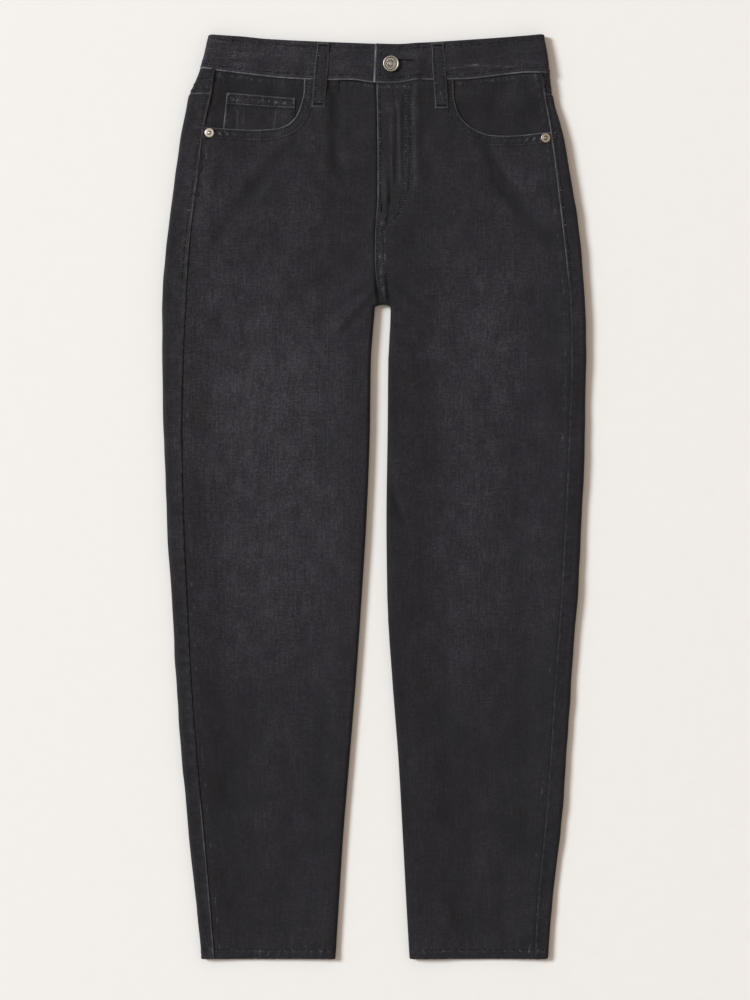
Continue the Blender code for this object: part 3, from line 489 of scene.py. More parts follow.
def relief(side, x, y):
    """Everything that the plain panel form doesn't have, on the front."""
    s = SIGN[side]
    d_seam = seam_distance(side, x, y)
    off_fold = ramp(to_fork(side, x, y), 0.0, 10.0)
    r = 0.55 * drape(x, y) + 0.16 * ruffle(x, y)
    r = r + creases(x, y)
    r = r * off_fold
    # side seam: drawn in where the strip is sewn down, puckered beside it
    r -= 0.34 * bell(d_seam, 2.2)
    shake = pucker(x * 0.25 + s * 31.0, y)
    r += 0.24 * shake * bell(d_seam - 3.0, 7.0)
    r += 0.14 * pucker(x * 0.3, y * 1.3 + 40.0) * bell(to_fork(side, x, y), 8.0)
    # waist seam
    d_band = lower_y(x) - y
    deep = 0.9 - 0.7 * ramp(x, -8.0, 4.0) * (1.0 - ramp(x, 38.0, 60.0))
    r -= deep * bell(np.maximum(d_band, 0.0), 3.4)
    r += 0.18 * pucker(x * 1.2, y * 0.3 + 7.0) * bell(d_band - 4.0, 7.0)
    # pocket mouth hem
    d, run, hand = to_line(x, y, MOUTH_LINE[side][::4])
    hem = bell(d - MOUTH_HEM, 3.5)
    r += 0.20 * pucker(run * 0.9, d * 0.3) * hem
    # leg hem
    up = y - HEM_END
    r += 0.45 * (1.0 - ramp(up, HEM_HEIGHT - 1.2, HEM_HEIGHT + 1.6))
    r += stitch_dip(up - HEM_HEIGHT + 2.2)
    rope = np.sin((x + 0.75 * up * s) * 2 * pi / 8.4 + 1.4 * slow_b(x, y))
    r += 0.30 * rope * bell(up - 5.2, 4.0) * (0.6 + 0.4 * slow_b(x * 2.0, 0.0))
    r += 0.22 * pucker(x * 0.8, y * 0.25) * bell(up - HEM_HEIGHT - 5.0, 8.0)
    if side == "left":
        edge = centre_x(y)
        d_edge = x - edge
        above = ramp(y, Y_FORK + 3.0, Y_FORK + 12.0)
        fell = above * (1.0 - ramp(y, 300.0, 326.0))
        r += fell * 0.55 * (1.0 - ramp(d_edge, 8.4, 11.4))
        r += fell * 0.22 * pucker(d_edge * 0.5, y * 0.9) * bell(d_edge - 5.0, 6.0)
        fold = above * ramp(y, 296.0, 322.0)
        r += fold * 0.30 * bell(d_edge - 1.6, 2.0)
        for line in FLY_ROWS:
            d = to_line(x, y, line[::3])[0]
            r += stitch_dip(d) * 0.9
        d = to_line(x, y, beside(FLY_CURVE, -2.5)[::3])[0]
        r += 0.20 * pucker(x * 0.6, y * 0.8) * bell(d, 5.0)
        for line in CENTRE_ROWS:
            d = to_line(x, y, line[::3])[0]
            r += stitch_dip(d) * fell
    else:
        d_edge = centre_x(y) - x
        r -= 0.60 * bell(d_edge - 0.6, 1.8) * ramp(y, 214.0, 224.0)
    return r


def front_core(side, x, y):
    x, y = np.broadcast_arrays(np.asarray(x, float), np.asarray(y, float))
    d_in = to_fork(side, x, y)
    b = base_z(side, x, y, d_in)
    floor = bottom_z(y)
    q = np.clip(d_in / FOLD_REACH, 0.0, 1.0)
    z = floor + (b - floor) * (0.5 + 0.5 * np.sqrt(1.0 - (1.0 - q) ** 2))
    d_seam = seam_distance(side, x, y)
    z = z + mouth_lift(side, x, y) * mix(0.35 * ramp(y, 370.0, 392.0), 1.0,
                                         ramp(d_seam, 0.0, 18.0))
    if side == "left":
        z = z + fly_lift(x, y)
    return z


def front_top(side, x, y):
    return front_core(side, x, y) + WALL / 2 + relief(side, x, y)


def back_z(side, x, y):
    x, y = np.broadcast_arrays(np.asarray(x, float), np.asarray(y, float))
    floor = bottom_z(y)
    d_in = to_fork(side, x, y)
    q = np.clip(d_in / FOLD_REACH, 0.0, 1.0)
    b = base_z(side, x, y, d_in)
    return floor + (b - floor) * (0.5 - 0.5 * np.sqrt(1.0 - (1.0 - q) ** 2))


# ------------------------------------------------------------- tone and wear
# soft fades, and painted shade and highlight along creases: a line in the front view's frame,
# half width, gain
FADES_AND_PAINTED_LIGHT = (
    # painted shade in the crotch creases
    (376.0, 287, 377.4, 303, 1.9, -0.42), (387.2, 280, 388.4, 303, 1.7, -0.46),
    (381.0, 294, 383.5, 304, 3.6, -0.22), (374.0, 264, 375.6, 290, 1.3, -0.22),
    (264, 190, 266, 400, 92, 0.26), (270, 390, 272, 580, 66, 0.68),
    (200, 190, 194, 440, 26, 0.30), (556, 300, 560, 420, 20, 0.06),
    (300, 420, 300, 560, 34, 0.10), (470, 320, 474, 600, 50, 0.50),
    (520, 200, 512, 330, 40, 0.22), (262, 640, 268, 730, 40, -0.02),
    (470, 640, 466, 700, 34, -0.02), (430, 160, 440, 240, 26, 0.12),
    (330, 200, 320, 250, 26, 0.08), (230, 944, 310, 944, 14, 0.14),
    # painted highlight on the ripples beside the fly, painted shade in the creases there and
    # elsewhere
    (391.5, 116, 392.5, 176, 1.6, 0.48), (398.8, 108, 399.6, 180, 1.7, 0.58),
    (405.0, 148, 404.5, 184, 1.4, 0.46), (415, 88, 414.5, 178, 2.1, 0.60),
    (395.4, 112, 395.6, 178, 1.5, -0.36), (402.8, 98, 402.6, 172, 1.6, -0.36),
    (409.9, 98, 409.7, 160, 1.7, -0.30), (390, 149, 394.6, 178, 1.2, -0.34),
    (421, 96, 420.5, 170, 2.4, -0.16), (426, 100, 430, 160, 3.5, 0.14),
    (386, 96, 388, 106, 3.0, 0.24), (384, 184, 384.5, 196, 2.6, 0.42),
    (388.8, 183, 389, 200, 1.3, -0.42), (389, 200, 386.4, 220, 1.3, -0.42),
    (333.5, 82, 333.5, 164, 4.4, -0.20), (387, 281, 388, 297, 1.6, -0.42),
    (376.8, 290, 377.6, 303, 1.5, -0.42), (394, 497, 401, 519, 3.6, -0.22),
    (383, 250, 384, 290, 2.2, 0.30),
)


def tone_and_painted_light(x, y):
    """Share of the full colour: washed centres, darker sides and calves, with painted shade in
    creases and painted highlight on their crests.
    """
    t = np.full(np.broadcast(x, y).shape, 1.0)
    for a, b, c, d, width, gain in FADES_AND_PAINTED_LIGHT:
        x0, y0 = at(a, b)
        x1, y1 = at(c, d)
        t += line_rise(x, y, x0, y0, x1, y1, gain, width * 1.09)
    t += 0.035 * slow_a(x, y) + 0.025 * slow_b(x, y)
    # painted highlight on crease and drape crests, painted shade in their troughs
    t += np.clip(0.24 * creases(x, y), -0.36, 0.28) + 0.03 * drape(x, y)
    t += 0.035 * ruffle(x * 1.3, y * 1.3) * ramp(y, 150.0, 300.0)
    return t


# -------------------------------------------------------------- mesh tools
def new_object(name, verts, faces, mat, attributes=None, smooth=True,
               angle=None):
    """Mesh from arrays: faces is a list of index arrays, one per polygon
    size."""
    mesh = bpy.data.meshes.new(name)
    verts = np.asarray(verts, float)
    mesh.vertices.add(len(verts))
    mesh.vertices.foreach_set("co", (verts * MM).astype(np.float32).ravel())
    faces = [np.asarray(f, np.int32) for f in faces if len(f)]
    loops = np.concatenate([f.ravel() for f in faces])
    sizes = np.concatenate([np.full(len(f), f.shape[1]) for f in faces])
    starts = np.concatenate(([0], np.cumsum(sizes)[:-1])).astype(np.int32)
    mesh.loops.add(len(loops))
    mesh.loops.foreach_set("vertex_index", loops)
    mesh.polygons.add(len(sizes))
    mesh.polygons.foreach_set("loop_start", starts)
    for key, values in (attributes or {}).items():
        values = np.asarray(values, np.float32)
        if values.ndim == 2:
            layer = mesh.attributes.new(key, 'FLOAT_VECTOR', 'POINT')
            layer.data.foreach_set("vector", values.ravel())
        else:
            layer = mesh.attributes.new(key, 'FLOAT', 'POINT')
            layer.data.foreach_set("value", values)
    mesh.update(calc_edges=True)
    mesh.validate()
    if smooth:
        mesh.shade_smooth()
        if angle:
            mesh.set_sharp_from_angle(angle=angle)
    ob = bpy.data.objects.new(name, mesh)
    bpy.context.scene.collection.objects.link(ob)
    ob.data.materials.append(mat)
    return ob


def grid_faces(rows, cols, flip=False, wrap_rows=False):
    j, i = np.meshgrid(np.arange(rows - (0 if wrap_rows else 1)),
                       np.arange(cols - 1), indexing="ij")
    j, i = j.ravel(), i.ravel()
    n = (j + 1) % rows
    quad = np.stack([j * cols + i, j * cols + i + 1, n * cols + i + 1,
                     n * cols + i], axis=1)
    return quad[:, ::-1] if flip else quad


def normals_of(p, up=None):
    """Unit normals of a grid of points; up is a grid or vector that they
    must agree with."""
    a = np.gradient(p, axis=0)
    b = np.gradient(p, axis=1)
    n = np.cross(b, a)
    n /= np.maximum(np.linalg.norm(n, axis=2), 1e-9)[..., None]
    if up is not None:
        sign = np.sign(np.sum(n * up, axis=2))
        n = n * np.where(sign == 0, 1.0, sign)[..., None]
    return n


def roll_edge(p, n, uv, extra, where, thick, back=3.0, steps=5):
    """Turn a grid's edge under: round it by the cloth's thickness and carry
    it back below.  extra is a dict of per-point fields."""
    if where in ("first_col", "last_col"):
        p = p.transpose(1, 0, 2)
        n = n.transpose(1, 0, 2)
        uv = uv.transpose(1, 0, 2)
        extra = {k: v.T for k, v in extra.items()}
    if where.startswith("first"):
        p, n, uv = p[::-1], n[::-1], uv[::-1]
        extra = {k: v[::-1] for k, v in extra.items()}
    out = p[-1] - p[-2]
    out -= n[-1] * np.sum(out * n[-1], axis=1)[:, None]
    out /= np.maximum(np.linalg.norm(out, axis=1), 1e-9)[:, None]
    uv_out = uv[-1] - uv[-2]
    uv_out /= np.maximum(np.linalg.norm(uv_out, axis=1), 1e-9)[:, None]
    r = thick / 2.0
    rows, nrows, uvs = [], [], []
    run = 0.0
    for k in range(1, steps + 1):
        a = pi * k / steps
        rows.append(p[-1] + out * (r * sin(a)) - n[-1] * (r * (1 - cos(a))))
        nrows.append(n[-1] * cos(a) + out * sin(a))
        run += r * pi / steps
        uvs.append(uv[-1] + uv_out * run)
    if back > 0.0:
        for share in (0.5, 1.0):
            rows.append(p[-1] - out * (back * share) - n[-1] * (2 * r))
            nrows.append(-n[-1])
            uvs.append(uv[-1] + uv_out * (run + back * share))
    add = len(rows)
    p = np.concatenate([p, np.array(rows)])
    n = np.concatenate([n, np.array(nrows)])
    uv = np.concatenate([uv, np.array(uvs)])
    extra = {k: np.concatenate([v, np.repeat(v[-1:], add, axis=0)])
             for k, v in extra.items()}
    if where.startswith("first"):
        p, n, uv = p[::-1], n[::-1], uv[::-1]
        extra = {k: v[::-1] for k, v in extra.items()}
    if where in ("first_col", "last_col"):
        p = p.transpose(1, 0, 2)
        n = n.transpose(1, 0, 2)
        uv = uv.transpose(1, 0, 2)
        extra = {k: v.T for k, v in extra.items()}
    return p, n, uv, extra


def shell(name, p, n, uv, extra, mat, keep=None, angle=None):
    """Object from a grid; its faces look along n."""
    rows, cols = p.shape[:2]
    faces = grid_faces(rows, cols)
    a = p[1, 0] - p[0, 0] if rows < 3 else p[rows // 2 + 1, cols // 2] - p[rows // 2, cols // 2]
    b = p[rows // 2, cols // 2 + 1] - p[rows // 2, cols // 2]
    if np.dot(np.cross(b, a), n[rows // 2, cols // 2]) < 0.0:
        faces = faces[:, ::-1]
    verts = p.reshape(-1, 3)
    cloth = np.concatenate([uv.reshape(-1, 2), np.zeros((rows * cols, 1))],
                           axis=1)
    fields = {k: v.reshape(-1) for k, v in extra.items()}
    fields.setdefault("edge", np.full(len(verts), 99.0))
    fields.setdefault("line", np.full(len(verts), 0.4))
    if keep is not None:
        kept = keep.reshape(-1)[faces].all(axis=1)
        faces = faces[kept]
        used = np.zeros(len(verts), bool)
        used[faces.ravel()] = True
        index = np.cumsum(used) - 1
        verts, cloth = verts[used], cloth[used]
        fields = {k: v[used] for k, v in fields.items()}
        faces = index[faces]
    fields["cloth"] = cloth
    return new_object(name, verts, [faces], mat, fields, angle=angle)


def nearest_edge(*edges):
    """Way to the nearest of some worn edges, and how worn that one is."""
    way = np.full(edges[0][0].shape, 99.0)
    worn = np.zeros(way.shape)
    for d, strength in edges:
        nearer = d < way
        way = np.where(nearer, d, way)
        worn = np.where(nearer, strength, worn)
    return {"edge": way, "line": worn}


def inside_polygon(x, y, points):
    odd = np.zeros(np.broadcast(x, y).shape, bool)
    n = len(points)
    for k in range(n):
        (ax, ay), (bx, by) = points[k], points[(k + 1) % n]
        if ay == by:
            continue
        crosses = ((ay > y) != (by > y))
        xc = ax + (y - ay) * (bx - ax) / (by - ay)
        odd ^= crosses & (x < xc)
    return odd


# --------------------------------------------------------------- materials
class Nodes:
    """Small helper that builds and links shader nodes."""

    def __init__(self, name):
        self.mat = bpy.data.materials.new(name)
        self.mat.use_nodes = True
        self.tree = self.mat.node_tree
        self.shader = self.tree.nodes["Principled BSDF"]
        self.out = self.tree.nodes["Material Output"]

    def add(self, kind, **settings):
        node = self.tree.nodes.new(kind)
        for key, value in settings.items():
            setattr(node, key, value)
        return node

    def put(self, socket, value):
        if isinstance(value, bpy.types.NodeSocket):
            self.tree.links.new(value, socket)
        else:
            socket.default_value = value

    def math(self, how, a, b=None, clamp=False):
        node = self.add('ShaderNodeMath', operation=how, use_clamp=clamp)
        self.put(node.inputs[0], a)
        if b is not None:
            self.put(node.inputs[1], b)
        return node.outputs[0]

    def attribute(self, name, vector=False):
        node = self.add('ShaderNodeAttribute', attribute_name=name)
        return node.outputs['Vector' if vector else 'Fac']

    def scaled(self, vector, scale, offset=(0.0, 0.0, 0.0)):
        node = self.add('ShaderNodeMapping')
        self.put(node.inputs['Vector'], vector)
        node.inputs['Scale'].default_value = scale
        node.inputs['Location'].default_value = offset
        return node.outputs[0]

    def noise(self, vector, scale=1.0, detail=2.0, rough=0.5, twist=0.0):
        node = self.add('ShaderNodeTexNoise')
        self.put(node.inputs['Vector'], vector)
        node.inputs['Scale'].default_value = scale
        node.inputs['Detail'].default_value = detail
        node.inputs['Roughness'].default_value = rough
        node.inputs['Distortion'].default_value = twist
        return node.outputs['Fac']

    def ramp(self, fac, *stops):
        node = self.add('ShaderNodeValToRGB')
        self.put(node.inputs[0], fac)
        band = node.color_ramp
        while len(band.elements) < len(stops):
            band.elements.new(0.5)
        for element, (place, colour) in zip(band.elements, stops):
            element.position = place
            if not hasattr(colour, "__len__"):
                colour = (colour,) * 3
            element.color = (*colour, 1.0)
        return node.outputs['Color']

    def span(self, value, a, b, c=0.0, d=1.0):
        node = self.add('ShaderNodeMapRange')
        self.put(node.inputs['Value'], value)
        for key, v in (('From Min', a), ('From Max', b), ('To Min', c),
                       ('To Max', d)):
            node.inputs[key].default_value = v
        return node.outputs[0]

    def blend(self, fac, a, b, how='MIX'):
        node = self.add('ShaderNodeMix', data_type='RGBA', blend_type=how)
        self.put(node.inputs[0], fac)
        self.put(node.inputs[6], a)
        self.put(node.inputs[7], b)
        return node.outputs[2]

    def bump(self, height, distance, strength=1.0, normal=None):
        node = self.add('ShaderNodeBump')
        node.inputs['Strength'].default_value = strength
        node.inputs['Distance'].default_value = distance
        self.put(node.inputs['Height'], height)
        if normal is not None:
            self.put(node.inputs['Normal'], normal)
        return node.outputs[0]


def srgb(r, g, b):
    def one(v):
        v /= 255.0
        return v / 12.92 if v <= 0.04045 else ((v + 0.055) / 1.055) ** 2.4
    return (one(r), one(g), one(b))


def denim(name, dark, mid, light, worn, streak=1.0, gain=1.0):
    """Washed black denim: slubby warp, fine weft, twill, salt of worn yarn."""
    k = Nodes(name)
    cloth = k.attribute("cloth", vector=True)
    wear = k.attribute("wear")
    shade = k.attribute("tone_and_painted_light")
    # warp yarns, long and uneven; u runs across them, v along
    slub = k.noise(k.scaled(cloth, (0.50, 0.030, 1.0)), 1.0, 3.0, 0.62)
    warp = k.noise(k.scaled(cloth, (0.95, 0.16, 1.0), (3.1, 7.7, 0.0)),
                   1.0, 2.0, 0.6)
    weft = k.noise(k.scaled(cloth, (0.13, 0.85, 1.0), (9.2, 1.3, 0.0)),
                   1.0, 2.0, 0.6)
    grain = k.noise(k.scaled(cloth, (0.62, 0.58, 1.0), (5.0, 2.0, 0.0)),
                    1.0, 2.0, 0.8)
    cloud = k.noise(k.scaled(cloth, (0.05, 0.026, 1.0)), 1.0, 3.0, 0.6)
    # twill: fine diagonal ribs
    rib = k.add('ShaderNodeTexWave', wave_type='BANDS',
                bands_direction='DIAGONAL')
    k.put(rib.inputs['Vector'], k.scaled(cloth, (1.0, 1.0, 0.0)))
    rib.inputs['Scale'].default_value = 0.30
    rib.inputs['Distortion'].default_value = 0.9
    rib.inputs['Detail'].default_value = 1.0
    rib.inputs['Detail Scale'].default_value = 1.6
    rib_value = rib.outputs['Fac']

    pick = k.noise(k.scaled(cloth, (0.024, 0.42, 1.0), (8.0, 2.0, 0.0)),
                   1.0, 2.0, 0.6)
    total = k.math('MULTIPLY', k.math('SUBTRACT', slub, 0.5), 0.40 * streak)
    soft = k.noise(k.scaled(cloth, (0.062, 0.044, 1.0), (3.0, 9.0, 0.0)),
                   1.0, 1.5, 0.5)
    for value, share in ((warp, 0.50 * streak), (weft, 0.46), (grain, 0.95),
                         (pick, 0.14), (cloud, 0.08), (soft, 0.25),
                         (rib_value, 0.10)):
        part = k.math('MULTIPLY', k.math('SUBTRACT', value, 0.5), share)
        total = k.math('ADD', total, part)
    # both the washed places and the painted highlights show their yarns more than the dark ones
    total = k.math('MULTIPLY', total, k.span(shade, 0.95, 1.45, 0.80, 1.40))
    level = k.math('ADD', total, 0.5, clamp=True)
    colour = k.ramp(level, (0.12, dark), (0.5, mid), (0.88, light))
    # single pale yarns
    speck = k.noise(k.scaled(cloth, (0.80, 0.34, 1.0), (4.0, 12.0, 0.0)),
                    1.0, 1.0, 0.5)
    colour = k.blend(k.span(speck, 0.66, 0.76, 0.0, 0.42), colour,
                     (*light, 1.0))
    # blotches, cool and warm
    blotch = k.noise(k.scaled(cloth, (0.075, 0.050, 1.0), (2.0, 5.0, 0.0)),
                     1.0, 2.0, 0.6)
    colour = k.blend(k.span(blotch, 0.50, 0.66, 0.0, 0.7), colour,
                     (0.97, 0.98, 1.12, 1.0), 'MULTIPLY')
    colour = k.blend(k.span(blotch, 0.34, 0.50, 0.5, 0.0), colour,
                     (1.05, 0.99, 0.93, 1.0), 'MULTIPLY')
    # purple-blue cast that comes and goes
    cast = k.noise(k.scaled(cloth, (0.012, 0.007, 1.0), (1.0, 4.0, 0.0)),
                   1.0, 2.0, 0.5)
    colour = k.blend(k.span(cast, 0.35, 0.65, 0.0, 0.5), colour,
                     (1.03, 0.99, 1.07, 1.0), 'MULTIPLY')
    # worn edges, broken up by the weave
    rough_wear = k.math('ADD', wear, k.math(
        'MULTIPLY', k.math('SUBTRACT', grain, 0.5), 0.45))
    rough_wear = k.math('ADD', rough_wear, k.math(
        'MULTIPLY', k.math('SUBTRACT', warp, 0.5), 0.25))
    amount = k.math('MULTIPLY', k.span(rough_wear, 0.12, 1.05, 0.0, 0.62),
                    k.span(wear, 0.0, 0.25))
    # narrow worn line where an edge is folded; edge is the way from it in mm
    edge = k.attribute("edge")
    near = k.math('ADD', edge, k.math('MULTIPLY', k.math(
        'SUBTRACT', grain, 0.5), 1.1))
    near = k.math('ADD', near, k.math('MULTIPLY', k.math(
        'SUBTRACT', cloud, 0.5), 1.2))
    run_out = k.noise(k.scaled(cloth, (0.085, 0.085, 1.0), (6.0, 3.0, 0.0)),
                      1.0, 2.0, 0.6)
    strength = k.math('MULTIPLY', k.attribute("line"),
                      k.span(run_out, 0.36, 0.62, 0.50, 1.15))
    amount = k.math('MAXIMUM', amount, k.math(
        'MULTIPLY', strength, k.span(near, 0.33, 0.96, 1.0, 0.0)))
    colour = k.blend(amount, colour, (*worn, 1.0))
    # darken by the place's share of the full colour, its painted shade and highlight included
    node = k.add('ShaderNodeCombineColor')
    for socket in node.inputs[:3]:
        k.put(socket, k.math('MULTIPLY', shade, gain))
    colour = k.blend(1.0, colour, node.outputs[0], 'MULTIPLY')
    k.put(k.shader.inputs['Base Color'], colour)
    k.put(k.shader.inputs['Roughness'], k.span(grain, 0.3, 0.7, 0.86, 0.97))
    k.shader.inputs['Specular IOR Level'].default_value = 0.18
    k.shader.inputs['Sheen Weight'].default_value = 0.10
    k.shader.inputs['Sheen Roughness'].default_value = 0.55
    k.shader.inputs['Sheen Tint'].default_value = (0.80, 0.80, 0.86, 1.0)
    height = k.math('ADD', k.math('MULTIPLY', warp, 0.55),
                    k.math('MULTIPLY', weft, 0.35))
    height = k.math('ADD', height, k.math('MULTIPLY', slub, 0.5))
    height = k.math('ADD', height, k.math('MULTIPLY', grain, 0.6))
    height = k.math('ADD', height, k.math('MULTIPLY', rib_value, 0.25))
    k.put(k.shader.inputs['Normal'], k.bump(height, 0.00042, 0.75))
    return k.mat


DENIM = denim("washed_black_denim", srgb(14, 13, 15), srgb(29.3, 27.6, 30.4),
              srgb(50, 48, 53), srgb(116, 115, 120))
DENIM_BAND = denim("waistband_denim", srgb(15, 14, 16), srgb(32.6, 30.8, 34),
                   srgb(62, 60, 65), srgb(122, 121, 126))
DENIM_FACING = denim("pocket_facing_denim", srgb(14, 13, 15),
                     srgb(30, 28, 31), srgb(54, 52, 57), srgb(114, 113, 117))


def thread_material():
    k = Nodes("stitch_thread")
    shade = k.attribute("shade")
    twist = k.attribute("cloth", vector=True)
    ply = k.add('ShaderNodeTexWave', wave_type='BANDS',
                bands_direction='DIAGONAL')
    k.put(ply.inputs['Vector'], twist)
    ply.inputs['Scale'].default_value = 1.1
    ply.inputs['Distortion'].default_value = 0.6
    colour = k.ramp(shade, (0.0, srgb(6, 6, 7)), (0.35, srgb(22, 21, 23)),
                    (0.6, srgb(56, 55, 58)), (1.0, srgb(112, 111, 115)))
    colour = k.blend(k.span(ply.outputs['Fac'], 0.0, 1.0, 0.0, 0.35), colour,
                     (0.012, 0.011, 0.013, 1.0))
    k.put(k.shader.inputs['Base Color'], colour)
    k.put(k.shader.inputs['Roughness'], k.span(ply.outputs['Fac'], 0.0, 1.0,
                                               0.70, 0.88))
    k.shader.inputs['Specular IOR Level'].default_value = 0.12
    k.put(k.shader.inputs['Normal'],
          k.bump(ply.outputs['Fac'], 0.00012, 0.8))
    return k.mat


THREAD = thread_material()


def metal_material(name, bright, dull, grime, roughness):
    """Worn plated metal: dull in its hollows, scuffed on its crests."""
    k = Nodes(name)
    place = k.add('ShaderNodeTexCoord').outputs['Object']
    deep = k.attribute("deep")
    mottle = k.noise(k.scaled(place, (900.0, 900.0, 900.0)), 1.0, 4.0, 0.65)
    scuff = k.noise(k.scaled(place, (260.0, 2600.0, 2600.0)), 1.0, 3.0, 0.7)
    base = k.blend(k.span(mottle, 0.35, 0.65), (*dull, 1.0), (*bright, 1.0))
    shade = k.math('ADD', deep, k.math('MULTIPLY', k.math(
        'SUBTRACT', mottle, 0.5), 0.8))
    colour = k.blend(k.span(shade, 0.35, 0.9), base, (*grime, 1.0))
    k.put(k.shader.inputs['Base Color'], colour)
    k.shader.inputs['Metallic'].default_value = 1.0
    k.put(k.shader.inputs['Roughness'], k.math(
        'ADD', k.span(scuff, 0.3, 0.7, roughness, roughness + 0.16),
        k.math('MULTIPLY', deep, 0.22)))
    k.put(k.shader.inputs['Normal'], k.bump(k.math(
        'ADD', mottle, scuff), 0.00006, 0.6))
    return k.mat


BUTTON_METAL = metal_material("aged_nickel", (0.52, 0.48, 0.42),
                              (0.33, 0.30, 0.265), (0.035, 0.03, 0.025), 0.38)
RIVET_NICKEL = metal_material("rivet_nickel_finish", (0.84, 0.79, 0.71),
                              (0.62, 0.56, 0.48), (0.05, 0.035, 0.025), 0.30)
RIVET_BRASS = metal_material("rivet_antique_brass", (0.52, 0.44, 0.36),
                             (0.34, 0.28, 0.22), (0.06, 0.05, 0.04), 0.34)


def zip_material():
    """Woven tape with a row of metal teeth down its middle."""
    k = Nodes("zip_tape_and_teeth")
    place = k.add('ShaderNodeTexCoord').outputs['Object']
    split = k.add('ShaderNodeSeparateXYZ')
    k.put(split.inputs[0], place)
    x, y = split.outputs[0], split.outputs[1]
    weave = k.noise(k.scaled(place, (2400.0, 1100.0, 100.0)), 1.0, 2.0, 0.5)
    rib = k.math('SINE', k.math('MULTIPLY', y, 2 * pi / 0.0011))
    tape = k.blend(k.span(weave, 0.3, 0.7), (0.012, 0.012, 0.013, 1.0),
                   (0.035, 0.034, 0.036, 1.0))
    tooth = k.math('SINE', k.math('MULTIPLY', y, 2 * pi / 0.0026))
    away = k.math('ABSOLUTE', k.math('SUBTRACT', x, 0.0275))
    on_chain = k.math('LESS_THAN', away, 0.0026)
    teeth = k.math('MULTIPLY', on_chain, k.math('GREATER_THAN', tooth, -0.1))
    colour = k.blend(teeth, tape, (0.50, 0.43, 0.30, 1.0))
    k.put(k.shader.inputs['Base Color'], colour)
    k.put(k.shader.inputs['Metallic'], teeth)
    k.put(k.shader.inputs['Roughness'], k.span(teeth, 0.0, 1.0, 0.85, 0.35))
    height = k.math('ADD', k.math('MULTIPLY', rib, 0.12),
                    k.math('MULTIPLY', teeth, 1.0))
    k.put(k.shader.inputs['Normal'], k.bump(height, 0.0006, 1.0))
    return k.mat


def floor_material():
    k = Nodes("pale_paper")
    place = k.add('ShaderNodeTexCoord').outputs['Object']
    fine = k.noise(k.scaled(place, (60.0, 60.0, 60.0)), 1.0, 3.0, 0.6)
    colour = k.blend(k.span(fine, 0.3, 0.7), (0.800, 0.772, 0.748, 1.0),
                     (0.812, 0.784, 0.760, 1.0))
    k.put(k.shader.inputs['Base Color'], colour)
    k.shader.inputs['Roughness'].default_value = 0.92
    k.shader.inputs['Specular IOR Level'].default_value = 0.1
    k.put(k.shader.inputs['Normal'], k.bump(fine, 0.00005, 0.3))
    return k.mat


